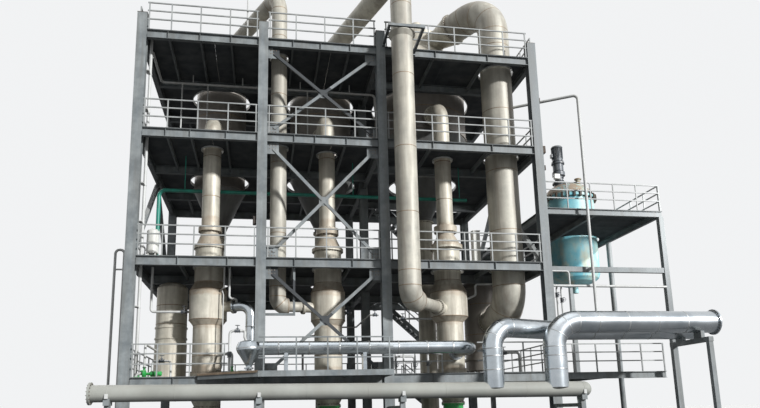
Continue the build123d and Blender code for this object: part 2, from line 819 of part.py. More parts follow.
# The steam main lies along the walkway. Its left end turns back to a branch up to the first heater's belt.
def steam_main():
    y, z, d = steam_main_y, steam_main_z, steam_main_diameter
    start = (heater_x[2], heater_y - heater_diameter / 2 - 180, z)
    left = (steam_main_left, y, z)
    behind = (steam_branch_x, steam_branch_y)
    heading = toward(left, behind)
    joint = step_out(left, heading, 950, z)
    main = pipe([start, (heater_x[2], y, z), left, joint], d, 480)
    collar = d + 2 * duct_flange_width
    main += disc((start[0], start[1] - duct_flange_thickness, z), (0, 1, 0), collar, duct_flange_thickness)
    narrow = steam_branch_diameter
    reducer = Plane(origin=step_out(joint, heading, -10, z), z_dir=(*heading, 0)) * Circle(d / 2)
    main += extrude(reducer, 260, taper=degrees(atan2((d - narrow) / 2, 260)))
    centre, back, bore, length, level = belt_inlet(0)
    finish = step_out(centre, back, belt_diameter[0] / 2 + length, level)
    points = [step_out(joint, heading, 240, z), (*behind, z), (*behind, level), finish]
    main += pipe(points, narrow, [400, 400])
    main += disc(finish, (*back, 0), bore + 2 * duct_flange_width, duct_flange_thickness)
    r, high = drip_pot_diameter / 2, z + d / 2 + 15
    pot = [(0, drip_pot_low), (150, drip_pot_low), (150, drip_pot_low + 45), (95, drip_pot_low + 45)]
    pot += [(95, drip_pot_low + 90), (r, z - 60), (r, z + 40), (r * 0.85, high - 50), (r * 0.5, high), (0, high)]
    main += turned(pot, drip_pot_x, y)
    for x in (5200, 7800):
        main += box((x - 60, x + 60), (y - 150, y + 150), (walkway_top, z - d / 2 + 80))
    return [main]


# The header stands on its own saddles, with two ducts rising from it.
def header_level(x):
    return header_z - header_fall * (x - header_x[0]) / (header_x[1] - header_x[0])


def header_line(x0, x1):
    return (x0, header_y, header_level(x0)), (x1, header_y, header_level(x1))


def supply_header():
    x0, x1 = header_x
    r = header_diameter / 2
    start, end = header_line(x0, x1 - r)
    body = member(start, end, Circle(r)) + Pos(*end) * Sphere(r)
    body += disc((x0 - 50, header_y, start[2]), (1, 0, 0), header_diameter + 160, 60)
    return [body]


def pipe_stands():
    solids = []
    r = header_diameter / 2
    y = header_y
    for x in header_stand_x:
        z = header_level(x)
        foot = box((x - 220, x + 220), (y - 220, y + 220), (0, 25))
        post = box((x - 80, x + 80), (y - 80, y + 80), (25, z - r - 100))
        cradle = box((x - 90, x + 90), (y - 200, y + 200), (z - r - 100, z - 60))
        cradle -= member(*header_line(x - 200, x + 200), Circle(r + seat_gap))
        strut = box((x - 60, x + 60), (y, -half_column), (z - r - 330, z - r - 210))
        solids.append(foot + post + cradle + strut)
    y0, y1 = header_y - 600, header_y + supply_offset + 550
    low = [z - d / 2 for z, d in zip(supply_z, supply_diameter)]
    top = min(low) - 80
    x = supply_stand_x
    frame = box((x - 90, x + 90), (y0, y1), (top - 160, top))
    for y in (y0 + 100, y1 - 100):
        frame += box((x - 80, x + 80), (y - 80, y + 80), (25, top - 160))
        frame += box((x - 200, x + 200), (y - 200, y + 200), (0, 25))
    for y, z, d in zip(supply_rows(), supply_z, supply_diameter):
        saddle = box((x - 70, x + 70), (y - 200, y + 200), (top, z - d / 2 + 90))
        frame += saddle - member((x - 200, y, z), (x + 200, y, z), Circle(d / 2 + seat_gap))
    solids.append(frame)
    return solids


def supply_rows():
    return [header_y + supply_offset, header_y]


def supply_ducts():
    solids = []
    for x, y, z, d in zip(supply_x, supply_rows(), supply_z, supply_diameter):
        points = [(x, header_y, header_level(x) + 60), (x, header_y, z)]
        bends = [d * 1.1]
        if y != header_y:
            points.append((supply_offset_x, y, z))
            bends.append(d * 1.1)
        points.append((supply_end, y, z))
        duct = pipe(points, d, bends)
        core = Circle(header_diameter / 2 + seat_gap)
        duct -= member(*header_line(x - 900, x + 900), core)
        duct = max(duct.solids(), key=lambda piece: piece.volume)
        solids.append(duct + disc((supply_end - 50, y, z), (1, 0, 0), d + 140, 50))
    return solids


# The crystalliser bay: posts, floors and the agitated tank hung in the upper floor.
frame_side = 15175


def annex_frame():
    section = i_section(annex_beam_depth, 140, 10, 14)
    half = annex_column / 2
    solids = []
    low = annex_floor_top - deck_thickness - annex_beam_depth
    for x, y in [(annex_right, annex_front), (annex_right, annex_back), (frame_side + 400, annex_back)]:
        post = box((x - 200, x + 200), (y - 200, y + 200), (0, 25))
        solids.append(post + box((x - half, x + half), (y - half, y + half), (25, low)))
    x, y = annex_right, (annex_front + annex_back) / 2
    post = box((x - 300, x + 300), (y - 300, y + 300), (0, 25))
    solids.append(post + disc((x, y, 25), (0, 0, 1), annex_round_column, low - 25))
    end = annex_right + half
    for floor in (annex_floor_top, annex_low_top):
        z = floor - deck_thickness - annex_beam_depth / 2
        right = end if floor == annex_floor_top else annex_right - half
        front = annex_front if floor == annex_floor_top else low_walk_y
        solids.append(member((frame_side, front, z), (right, front, z), section))
        inner = front + 70 + seat_gap
        for x in (frame_side + 90, tank_x - tank_diameter / 2 - 300):
            solids.append(member((x, inner, z), (x, annex_back - 70 - seat_gap, z), section))
        solids.append(member((frame_side, annex_back, z), (right, annex_back, z), section))
    z = annex_floor_top - deck_thickness - annex_beam_depth / 2
    for y0, y1 in ((annex_front + 70 + seat_gap, annex_back - 70 - seat_gap),):
        solids.append(member((annex_right, y0, z), (annex_right, y1, z), section))
    rail_y, rail_z = (annex_front - 80, annex_front + 80), (annex_middle_beam - 100, annex_middle_beam + 100)
    solids.append(box((frame_side, annex_right - half), rail_y, rail_z))
    return solids


def annex_floors():
    end = annex_right + annex_column / 2
    z = (annex_floor_top - deck_thickness, annex_floor_top)
    upper = box((frame_side, end), (annex_front - 70, annex_back + 70), z)
    upper -= Pos(tank_x, tank_y, annex_floor_top) * Cylinder(tank_diameter / 2 + 90, 100)
    low = (annex_low_top - deck_thickness, annex_low_top)
    half = annex_column / 2
    lower = box((frame_side, annex_right - half), (low_walk_y - 70, annex_back - half), low)
    post = Cylinder(annex_round_column / 2 + 10, 100)
    lower -= Pos(annex_right, (annex_front + annex_back) / 2, annex_low_top) * post
    return [upper, lower]


def annex_railing():
    end = annex_right + annex_column / 2
    inset = rail_inset + post_size / 2
    x0, x1 = frame_side + 10, end - inset
    y0, y1 = annex_front - 70 + inset, annex_back + 70 - inset
    front = rail_run((x0, y0), (x1 + post_size / 2, y0), annex_floor_top)
    joint = post_size / 2 + seat_gap
    side = rail_run((x1, y0 + joint), (x1, y1 - joint), annex_floor_top)
    rear = rail_run((x0, y1), (x1 + post_size / 2, y1), annex_floor_top)
    y2 = low_walk_y - 30
    lower = rail_run((x0, y2), (annex_right - annex_column / 2 - 20, y2), annex_low_top)
    return [front, side, rear, lower]


def crystalliser_shell():
    r = tank_diameter / 2
    shell = ring(tank_x, tank_y, tank_low, r - tank_wall, r, tank_high - tank_low)
    shell += ring(tank_x, tank_y, tank_high - lid_ring_height, r - tank_wall, r + 90, lid_ring_height)
    for angle in (45, 135, 225, 315):
        lug = box((r - 5, r + 330), (-60, 60), (annex_floor_top, annex_floor_top + 170))
        shell += Pos(tank_x, tank_y, 0) * Rot(0, 0, angle) * lug
    return [shell]


def cover_outline(gap):
    r, rise = tank_diameter / 2, tank_cover_rise
    low, rim = tank_high, tank_high + lid_ring_height
    dome = [(0.97, 0.3), (0.9, 0.5), (0.75, 0.72), (0.55, 0.88), (0.3, 0.97)]
    shoulder = [(r * across + gap, low + rise * up + gap) for across, up in dome]
    return [(0, low), (r + 90, low), (r + 90, rim + gap), (r, rim + gap)] + shoulder + [(0, low + rise + gap)]


def crystalliser_ends():
    r = tank_diameter / 2
    top = turned(cover_outline(0), tank_x, tank_y)
    for angle, reach in ((15, 620), (95, 560), (290, 700)):
        nx, ny = tank_x + reach * cos(radians(angle)), tank_y + reach * sin(radians(angle))
        top += disc((nx, ny, tank_high + 300), (0, 0, 1), 220, 600)
        top += disc((nx, ny, tank_high + 860), (0, 0, 1), 330, 40)
    bottom = turned([
        (0, tank_low), (r, tank_low), (r * 0.94, tank_low - 190), (r * 0.78, tank_low - 340),
        (r * 0.5, tank_low - 450),
        (130, tank_low - tank_rise), (130, tank_low - tank_rise - 300), (0, tank_low - tank_rise - 300),
    ], tank_x, tank_y)
    return [top, bottom]


def agitator_drive():
    base = tank_high + agitator_foot
    steps = [(330, 60), (190, 420), (300, 520), (300, 600), (215, 660)]
    steps += [(250, 1010), (310, 1090), (225, 1150), (250, 1230)]
    outline = [(0, base), (330, base)]
    for (radius, height), (following, _) in zip(steps, steps[1:]):
        outline.append((radius, base + height))
        if following != radius:
            outline.append((following, base + height))
    top = base + agitator_height
    outline += [(250, base + 1230), (230, top - 90), (150, top), (0, top)]
    stool = disc((agitator_x, tank_y, tank_high + 300), (0, 0, 1), 520, agitator_foot - 300)
    return [turned(outline, agitator_x, tank_y) + (stool - turned(cover_outline(seat_gap), tank_x, tank_y))]


# Small service lines: vent pipe, rain pipe and the looped line by the left column.
def service_pipes():
    duct_side = duct_diameter[2] / 2
    start = (duct_x[2] + duct_side - 20, duct_y[2] + 60, vent_level)
    corner = (16825, -175, vent_level)
    vent = pipe([start, corner, (16825, -175, supply_z[0] + 700)], vent_diameter, 200)
    vent -= Pos(duct_x[2], duct_y[2], vent_level) * Cylinder(duct_side + 0.4, 2000)
    vent = max(vent.solids(), key=lambda piece: piece.volume)
    vent += box((16825 - 30, 16825 + 30), (-175, annex_front - 80), (6650, 6750))
    length = level_top[3] - deck_thickness - level_top[0]
    rain = disc((rain_pipe_x, rain_pipe_y, level_top[0]), (0, 0, 1), rain_pipe_diameter, length)
    left, right = loop_x
    loop = pipe([(left, 825, 0), (left, 825, 7300), (right, 825, 7300), (right, 825, 0)], 90, 140)
    for level in (0, 1):
        low = level_top[level] - deck_thickness - beam_depth
        loop += box((left - 40, -beam_width / 2), (800, 850), (low, low + 50))
    return [vent, rain, loop]


def cooling_pipe():
    y, z = service_y, service_level
    points = [(450, y, level_top[1]), (450, y, z), (12800, y, z)]
    service = pipe(points, 150, 250)
    for x in (1400, 4700, 8000, 10100, 12500):
        hanger = (service_y - 15, service_y + 15)
        service += box((x - 15, x + 15), hanger, (service_level, level_top[2] - deck_thickness))
    return [service]


def dosing_drum():
    x, y, base = 545, 905, level_top[1]
    outline = [(0, base + 300), (210, base + 300), (210, base + 1120), (140, base + 1190), (0, base + 1200)]
    body = turned(outline, x, y)
    for dx in (-120, 120):
        for dy in (-120, 120):
            body += box((x + dx - 25, x + dx + 25), (y + dy - 25, y + dy + 25), (base, base + 320))
    return [body]


# One flight of stairs rises through the well behind the last bay to each floor.
def flight(level):
    low, count, going = stair_steps(level)
    high = level_top[level]
    foot, end = stair_right + 100, well_left(level)
    slope = (high - low) / (foot - end)
    y0, y1 = stair_depth[0] + 20, stair_depth[1] - 20
    stair = None
    for y in (y0, y1):
        string = member((foot - 100, y, low + 100 * slope), (end + 80, y, high - 80 * slope), Rectangle(12, 200))
        string += box((foot - 130, foot + 60), (y - 6, y + 6), (low, low + 150))
        string += box((end, end + 150), (y - 6, y + 6), (high - 260, high))
        bar = Rectangle(rail_size, rail_size)
        rail = member((foot - 60, y, low + 1000), (end + 80, y, high + 940 - 80 * slope), bar)
        for share in (0.02, 0.34, 0.66, 0.97):
            x, z = foot - share * (foot - end), low + share * (high - low)
            rail += box((x - 20, x + 20), (y - 20, y + 20), (z, z + 960))
        stair = string + rail if stair is None else stair + string + rail
    for index in range(1, count):
        z, x = low + (high - low) * index / count, foot - index * going
        stair += box((x - 120, x + 120), (y0, y1), (z - 30, z))
    return stair


def stairs():
    return [flight(level) for level in range(4)]


os.makedirs("parts", exist_ok=True)
save("front_columns", front_columns())
save("rear_columns", rear_columns())
for index in range(4):
    save(f"floor_{index + 1}_beams", floor_beams(index))
    save(f"floor_{index + 1}_plates", floor_plates(index))
save("floor_railings", floor_railings())
save("bracing", bracing())
save("front_walkway", front_walkway())
for index in range(3):
    save(f"heater_shell_{index + 1}", heater_shell(index))
    save(f"separator_shell_{index + 1}", separator_shell(index))
    save(f"vapour_duct_{index + 1}", vapour_duct(index))
save("heater_bottoms", [heater_bottom(index) for index in range(3)])
save("riser_pipes", [riser_pipe(index) for index in range(3)])
save("separator_cones", [separator_cone(index) for index in range(3)])
save("separator_heads", [separator_head(index) for index in range(3)])
save("downcomers", [downcomer(index) for index in range(3)])
save("circulation_pumps", [circulation_pump(index) for index in range(3)])
save("condenser", condenser())
save("flash_tank", flash_tank())
save("steam_main", steam_main())
save("supply_header", supply_header())
save("pipe_stands", pipe_stands())
save("supply_ducts", supply_ducts())
save("crystalliser_frame", annex_frame())
save("crystalliser_floors", annex_floors())
save("crystalliser_railing", annex_railing())
save("crystalliser_shell", crystalliser_shell())
save("crystalliser_ends", crystalliser_ends())
save("agitator_drive", agitator_drive())
save("service_pipes", service_pipes())
save("cooling_pipe", cooling_pipe())
save("dosing_drum", dosing_drum())
save("stairs", stairs())
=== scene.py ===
import math
from itertools import product

import bmesh
import bpy
from mathutils import Matrix, Vector


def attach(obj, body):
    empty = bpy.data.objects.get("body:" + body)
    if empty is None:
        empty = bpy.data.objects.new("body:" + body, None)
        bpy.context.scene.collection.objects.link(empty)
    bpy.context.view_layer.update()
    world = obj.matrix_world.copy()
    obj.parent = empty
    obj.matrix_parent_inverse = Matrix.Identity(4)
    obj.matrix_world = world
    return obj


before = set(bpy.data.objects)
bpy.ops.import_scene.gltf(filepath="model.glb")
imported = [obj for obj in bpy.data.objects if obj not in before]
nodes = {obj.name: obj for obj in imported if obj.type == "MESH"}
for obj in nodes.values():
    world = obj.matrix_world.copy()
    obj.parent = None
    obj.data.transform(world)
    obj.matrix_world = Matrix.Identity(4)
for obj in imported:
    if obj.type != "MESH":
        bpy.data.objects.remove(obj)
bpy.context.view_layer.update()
print("frame loaded with", len(nodes), "nodes")


# Camera at eye level, in front of the header
camera = {
    "place": (4.412, -22.718, 1.534), "turn": 10.405, "tilt": 11.324, "roll": -1.393,
    "lens": 30.935, "shift": 0.1, "reach": 400,
}

eye = bpy.data.objects.new("camera", bpy.data.cameras.new("camera"))
bpy.context.scene.collection.objects.link(eye)
turned = Matrix.Rotation(math.radians(-camera["turn"]), 4, "Z")
tilted = Matrix.Rotation(math.radians(90 + camera["tilt"]), 4, "X")
rolled = Matrix.Rotation(math.radians(camera["roll"]), 4, "Z")
eye.matrix_world = Matrix.Translation(camera["place"]) @ (turned @ (tilted @ rolled))
eye.data.lens = camera["lens"]
eye.data.shift_y = camera["shift"]
eye.data.clip_end = camera["reach"]
bpy.context.scene.camera = eye


# Node helpers, which find the tree from the sockets that they are given
def addNode(tree, kind, **values):
    made = tree.nodes.new(kind)
    for key, value in values.items():
        if hasattr(made, key):
            setattr(made, key, value)
        else:
            made.inputs[key.replace("_", " ")].default_value = value
    return made


# A plain value goes onto the socket itself, and another node's output is linked to it
def feed(source, socket):
    if isinstance(source, bpy.types.NodeSocket):
        socket.id_data.links.new(source, socket)
    else:
        socket.default_value = (*source, 1) if isinstance(source, tuple) else source


def mixColour(factor, first, second):
    mix = addNode(factor.id_data, "ShaderNodeMix", data_type="RGBA")
    for index, source in ((0, factor), (6, first), (7, second)):
        feed(source, mix.inputs[index])
    return mix.outputs[2]


def calc(operation, first, second=0.0, clamp=False):
    known = first if isinstance(first, bpy.types.NodeSocket) else second
    node = addNode(known.id_data, "ShaderNodeMath", operation=operation, use_clamp=clamp)
    feed(first, node.inputs[0])
    feed(second, node.inputs[1])
    return node.outputs[0]


def times(first, second, clamp=False):
    return calc("MULTIPLY", first, second, clamp)


def remap(source, low, high, toLow=0.0, toHigh=1.0):
    node = source.id_data.nodes.new("ShaderNodeMapRange")
    for index, value in enumerate((source, low, high, toLow, toHigh)):
        feed(value, node.inputs[index])
    return node.outputs[0]


def noiseOf(vector, scale, detail=4.0, roughness=0.55):
    node = addNode(vector.id_data, "ShaderNodeTexNoise", Detail=detail, Roughness=roughness)
    feed(vector, node.inputs["Vector"])
    feed(scale, node.inputs["Scale"])
    return node.outputs[0]


def stretched(vector, factors):
    node = vector.id_data.nodes.new("ShaderNodeMapping")
    node.inputs["Scale"].default_value = factors
    feed(vector, node.inputs["Vector"])
    return node.outputs[0]


def axesOf(vector):
    node = vector.id_data.nodes.new("ShaderNodeSeparateXYZ")
    feed(vector, node.inputs[0])
    return node.outputs


# Every group takes a vector and named amounts, and gives masks and colours
def newGroup(name, amounts, masks, colours=()):
    tree = bpy.data.node_groups.new(name, "ShaderNodeTree")
    tree.interface.new_socket("Vector", in_out="INPUT", socket_type="NodeSocketVector")
    for label, value in amounts.items():
        tree.interface.new_socket(label, in_out="INPUT", socket_type="NodeSocketFloat").default_value = value
    for label in masks:
        tree.interface.new_socket(label, in_out="OUTPUT", socket_type="NodeSocketFloat")
    for label in colours:
        tree.interface.new_socket(label, in_out="OUTPUT", socket_type="NodeSocketColor")
    return tree, tree.nodes.new("NodeGroupInput").outputs, tree.nodes.new("NodeGroupOutput").inputs


# Streaks that run down a wall, broad patches and fine grain
def makeWeathering():
    amounts = {"Streak Size": 2.5, "Patch Size": 0.6}
    tree, takes, gives = newGroup("weathering", amounts, ["Streaks", "Patches", "Grain"])
    place = takes["Vector"]
    streaks = noiseOf(stretched(place, (1.0, 1.0, 0.07)), takes["Streak Size"], 5.0, 0.6)
    patches = noiseOf(place, takes["Patch Size"], 6.0, 0.62)
    feed(remap(streaks, 0.42, 0.68), gives["Streaks"])
    feed(remap(patches, 0.36, 0.66), gives["Patches"])
    feed(noiseOf(place, 38.0, 3.0), gives["Grain"])
    return tree


# A cloudy mask on faces that look up, for dust, or down, for painted shade
def makeLying(name, label, facing, cloudSize, thinnest):
    tree, takes, gives = newGroup(name, {"Amount": 0.6}, [label])
    normal = tree.nodes.new("ShaderNodeNewGeometry").outputs["Normal"]
    lying = remap(axesOf(normal)[2], *facing)
    cloud = remap(noiseOf(takes["Vector"], cloudSize, 5.0), 0.3, 0.7, thinnest, 1.0)
    feed(times(times(lying, cloud), takes["Amount"], True), gives[label])
    return tree


# Rust that starts in specks and runs down from them
def makeRust():
    tree, takes, gives = newGroup("rustSpots", {"Spread": 0.5}, ["Rust"], ["Tone"])
    place = takes["Vector"]
    specks = noiseOf(place, 7.0, 6.0, 0.7)
    runs = noiseOf(stretched(place, (1.0, 1.0, 0.12)), 9.0, 4.0, 0.6)
    both = calc("ADD", times(specks, 0.6), times(runs, 0.4))
    edge = calc("SUBTRACT", 0.78, times(takes["Spread"], 0.22))
    feed(times(calc("SUBTRACT", both, edge), 16.0, True), gives["Rust"])
    tone = mixColour(noiseOf(place, 26.0), (0.20, 0.075, 0.025), (0.38, 0.17, 0.07))
    feed(tone, gives["Tone"])
    return tree


# Heat tint and rust in a band between two heights, with a ragged lower edge
def makeBeltTint():
    tree, takes, gives = newGroup("beltTint", {"Low": 0.0, "High": 1.0}, ["Mask"])
    place = takes["Vector"]
    level = axesOf(place)[2]
    drips = noiseOf(stretched(place, (1.0, 1.0, 0.2)), 6.0, 4.0)
    ragged = calc("ADD", level, times(drips, 0.22))
    above = times(calc("SUBTRACT", ragged, takes["Low"]), 14.0, True)
    below = times(calc("SUBTRACT", takes["High"], level), 14.0, True)
    cloud = remap(noiseOf(place, 3.5, 5.0), 0.3, 0.65, 0.25, 1.0)
    feed(times(times(above, below), cloud), gives["Mask"])
    return tree


weathering = makeWeathering()
settledDust = makeLying("settledDust", "Dust", (0.35, 0.95), 1.7, 0.35)
# Faces that look down are darkened, only a little cloudy: painted shade
undersideShade = makeLying("undersideShade", "Shade", (-0.3, -0.9), 2.4, 0.75)
rustSpots = makeRust()
beltTint = makeBeltTint()


def placeGroup(group, vector, **values):
    node = vector.id_data.nodes.new("ShaderNodeGroup")
    node.node_tree = group
    feed(vector, node.inputs["Vector"])
    for key, value in values.items():
        node.inputs[key.replace("_", " ")].default_value = value
    return node.outputs


def dusted(place, colour, amount, tone):
    return mixColour(placeGroup(settledDust, place, Amount=amount)["Dust"], colour, tone)


# Darkens the faces that look down towards a near-black tone: painted shade
def shadeBelow(place, colour, amount, tone):
    return mixColour(placeGroup(undersideShade, place, Amount=amount)["Shade"], colour, tone)


def newMaterial(name, metallic=0.0, **sockets):
    material = bpy.data.materials.new(name)
    material.use_nodes = True
    tree = material.node_tree
    shader = tree.nodes["Principled BSDF"].inputs
    shader["Metallic"].default_value = metallic
    for key, value in sockets.items():
        shader[key.replace("_", " ")].default_value = value
    return material, shader, tree.nodes.new("ShaderNodeTexCoord").outputs["Object"]


def bumpFrom(shader, height, strength, distance):
    bump = addNode(height.id_data, "ShaderNodeBump", Strength=strength, Distance=distance)
    feed(height, bump.inputs["Height"])
    feed(bump.outputs["Normal"], shader["Normal"])


# Every steel starts with a lighter and a darker tone in patches, and with streaks that stain it
def startSteel(name, look, **sockets):
    material, shader, place = newMaterial(name, **sockets)
    wear = placeGroup(weathering, place, Streak_Size=look["streak"], Patch_Size=look["patch"])
    rust = placeGroup(rustSpots, place, Spread=look["rust"])
    colour = mixColour(wear["Patches"], look["dark"], look["light"])
    colour = mixColour(times(wear["Streaks"], look["stains"]), colour, look["stain"])
    return material, shader, place, wear, rust, colour


# Painted steel: two tones of paint, streaks, dust on top and a little rust. Faces that look down get painted
# shade, as dark as "under" says
paintLooks = {
    "frameSteel": {
        "dark": (0.135, 0.155, 0.165), "light": (0.27, 0.295, 0.30), "stain": (0.13, 0.13, 0.12),
        "streak": 5, "patch": 1.7, "stains": 0.6, "dust": 0.5, "rust": 0.35, "under": 0.85, "rough": 0.56,
    },
    "railSteel": {
        "dark": (0.24, 0.255, 0.255), "light": (0.37, 0.385, 0.38), "stain": (0.20, 0.20, 0.19),
        "streak": 6, "patch": 2, "stains": 0.4, "dust": 0.4, "rust": 0.4, "under": 0.5, "rough": 0.5,
    },
    "headerPaint": {
        "dark": (0.27, 0.28, 0.255), "light": (0.35, 0.36, 0.33), "stain": (0.27, 0.26, 0.23),
        "streak": 1.2, "patch": 0.7, "stains": 0.35, "dust": 0.35, "rust": 0.15, "under": 0.8, "rough": 0.62,
    },
    "pumpGreen": {
        "dark": (0.02, 0.30, 0.06), "light": (0.05, 0.48, 0.12), "stain": (0.05, 0.12, 0.05),
        "streak": 5, "patch": 2.5, "stains": 0.35, "dust": 0.45, "rust": 0.2, "under": 0.5, "rough": 0.4,
    },
    "driveGrey": {
        "dark": (0.05, 0.06, 0.075), "light": (0.12, 0.14, 0.16), "stain": (0.25, 0.22, 0.18),
        "streak": 5, "patch": 3.5, "stains": 0.35, "dust": 0.5, "rust": 0.45, "under": 0.5, "rough": 0.45,
    },
    "drumWhite": {
        "dark": (0.62, 0.63, 0.60), "light": (0.74, 0.75, 0.72), "stain": (0.35, 0.33, 0.28),
        "streak": 9, "patch": 3, "stains": 0.5, "dust": 0.3, "rust": 0.5, "under": 0.6, "rough": 0.45,
    },
    "pipeGrey": {
        "dark": (0.50, 0.51, 0.50), "light": (0.62, 0.63, 0.62), "stain": (0.33, 0.32, 0.29),
        "streak": 7, "patch": 1.5, "stains": 0.4, "dust": 0.3, "rust": 0.3, "under": 0.6, "rough": 0.5,
    },
    "pipeGreen": {
        "dark": (0.01, 0.22, 0.16), "light": (0.03, 0.38, 0.28), "stain": (0.04, 0.12, 0.10),
        "streak": 5, "patch": 2, "stains": 0.4, "dust": 0.3, "rust": 0.15, "under": 0.5, "rough": 0.45,
    },
    "clampRust": {
        "dark": (0.02, 0.018, 0.016), "light": (0.07, 0.055, 0.04), "stain": (0.12, 0.06, 0.03),
        "streak": 9, "patch": 5, "stains": 0.5, "dust": 0.2, "rust": 0.1, "under": 0.5, "rough": 0.7,
    },
}


def paintedSteel(name, look):
    material, shader, place, wear, rust, colour = startSteel(name, look)
    colour = dusted(place, colour, look["dust"], (0.46, 0.44, 0.40))
    colour = mixColour(rust["Rust"], colour, rust["Tone"])
    # Painted shade on the faces that look down
    feed(shadeBelow(place, colour, look["under"], (0.03, 0.035, 0.04)), shader["Base Color"])
    rough = remap(wear["Patches"], 0.0, 1.0, look["rough"] - 0.07, look["rough"] + 0.08)
    feed(calc("ADD", rough, times(rust["Rust"], 0.25)), shader["Roughness"])
    bumpFrom(shader, wear["Grain"], 0.12, 0.004)
    return material


# Front braces: the falling brace of the lowest and of the highest cross is painted much darker, a painted
# shadow
def shadedBracePaint():
    braceShadow = {
        "tone": (0.02, 0.024, 0.028), "depth": 0.95, "left": 4.35, "width": 4.45, "edge": 0.35, "reach": 0.32,
        "storeys": [(2.8, 6.9), (11.55, 15.35)], "back": 1.0,
    }
    material = paintedSteel("braceShadedSteel", paintLooks["frameSteel"])
    tree = material.node_tree
    paint = tree.nodes["Principled BSDF"].inputs["Base Color"]
    x, y, z = axesOf(tree.nodes["Texture Coordinate"].outputs["Object"])
    across = calc("SUBTRACT", x, braceShadow["left"])
    half = braceShadow["width"] / 2
    fromMiddle = calc("ABSOLUTE", calc("SUBTRACT", across, half))
    inBay = calc("LESS_THAN", fromMiddle, half - braceShadow["edge"])
    inFront = calc("LESS_THAN", y, braceShadow["back"])
    # Bands along the falling braces that take the painted shadow
    dark = 0.0
    for low, high in braceShadow["storeys"]:
        fall = times(across, (low - high) / braceShadow["width"])
        gap = calc("ABSOLUTE", calc("SUBTRACT", calc("SUBTRACT", z, high), fall))
        dark = calc("ADD", calc("LESS_THAN", gap, braceShadow["reach"]), dark)
    shadeMask = times(times(dark, times(inBay, inFront)), braceShadow["depth"], True)
    feed(mixColour(shadeMask, paint.links[0].from_socket, braceShadow["tone"]), paint)
    return material


# Chequered floor plate: short raised bars that turn from one square to the next
def chequeredPlate():
    look = {
        "dark": (0.13, 0.14, 0.14), "light": (0.22, 0.225, 0.22), "dust": (0.42, 0.40, 0.36),
        "underShade": (0.02, 0.024, 0.03), "pitch": 0.05, "shine": 0.12,
    }
    material, shader, place = newMaterial("chequeredPlate", Specular_IOR_Level=look["shine"])
    wear = placeGroup(weathering, place, Streak_Size=1.5, Patch_Size=0.9)
    rust = placeGroup(rustSpots, place, Spread=0.4)
    colour = mixColour(wear["Patches"], look["dark"], look["light"])
    colour = dusted(place, colour, 0.7, look["dust"])
    colour = mixColour(rust["Rust"], colour, rust["Tone"])
    # Faces that look down get a near-black painted shade
    feed(shadeBelow(place, colour, 0.92, look["underShade"]), shader["Base Color"])
    feed(remap(wear["Patches"], 0.0, 1.0, 0.72, 0.9), shader["Roughness"])
    x, y, _ = axesOf(place)
    waves = [calc("SINE", times(calc(way, x, y), math.pi / look["pitch"])) for way in ("ADD", "SUBTRACT")]
    bars = calc("ABSOLUTE", times(*waves))
    bumpFrom(shader, remap(bars, 0.55, 0.95), 0.5, 0.002)
    return material


# Bare stainless: mill sheet with drip streaks, brown haze and a rolled grain
sheetLooks = {
    "ductSteel": {
        "dark": (0.34, 0.33, 0.29), "light": (0.56, 0.54, 0.465), "stain": (0.25, 0.22, 0.18),
        "streak": 3.6, "patch": 1, "stains": 0.7, "rust": 0.12, "rough": 0.56, "metal": 0.22,
    },
    "vesselSteel": {
        "dark": (0.45, 0.43, 0.36), "light": (0.70, 0.665, 0.57), "stain": (0.28, 0.24, 0.19),
        "streak": 4.4, "patch": 1.2, "stains": 0.7, "rust": 0.25, "rough": 0.53, "metal": 0.2,
    },
    # A darker copy of the stainless for the separators, the condenser and the manways: painted shade
    "separatorShadedSteel": {
        "dark": (0.20, 0.185, 0.17), "light": (0.34, 0.315, 0.28), "stain": (0.16, 0.14, 0.12),
        "streak": 2.4, "patch": 0.5, "stains": 0.5, "rust": 0.15, "rough": 0.45, "metal": 0.45,
    },
    # A still darker copy of the stainless for the separator cones: painted shade
    "coneShadedSteel": {
        "dark": (0.10, 0.105, 0.105), "light": (0.19, 0.19, 0.18), "stain": (0.07, 0.065, 0.06),
        "streak": 2.4, "patch": 0.6, "stains": 0.5, "rust": 0.15, "rough": 0.5, "metal": 0.3,
    },
    "weldTint": {
        "dark": (0.22, 0.16, 0.11), "light": (0.36, 0.28, 0.20), "stain": (0.14, 0.10, 0.07),
        "streak": 12, "patch": 4, "stains": 0.6, "rust": 0.6, "rough": 0.5, "metal": 0.4,
    },
    "boltSteel": {
        "dark": (0.16, 0.145, 0.13), "light": (0.30, 0.28, 0.25), "stain": (0.16, 0.10, 0.06),
        "streak": 20, "patch": 9, "stains": 0.7, "rust": 0.5, "rough": 0.45, "metal": 0.6,
    },
    "jacketEdge": {
        "dark": (0.34, 0.36, 0.37), "light": (0.52, 0.54, 0.55), "stain": (0.24, 0.23, 0.21),
        "streak": 9, "patch": 2, "stains": 0.4, "rust": 0.05, "rough": 0.38, "metal": 0.9,
    },
}

# Brown belts of the heaters and risers: lower level, upper level and depth of colour
belts = {
    "tint": (0.33, 0.24, 0.16),
    "heaterSteel1": [(4.66, 4.93, 0.55), (5.86, 6.34, 0.8), (2.85, 3.3, 0.6)],
    "heaterSteel2": [(4.64, 4.91, 0.4), (5.85, 6.30, 0.5), (2.85, 3.2, 0.5)],
    "heaterSteel3": [(4.78, 5.05, 0.4), (5.87, 6.30, 0.45), (2.85, 3.2, 0.5)],
    "riserSteel": [(7.62, 8.05, 0.65), (8.15, 8.85, 0.5), (11.3, 11.8, 0.3)],
}


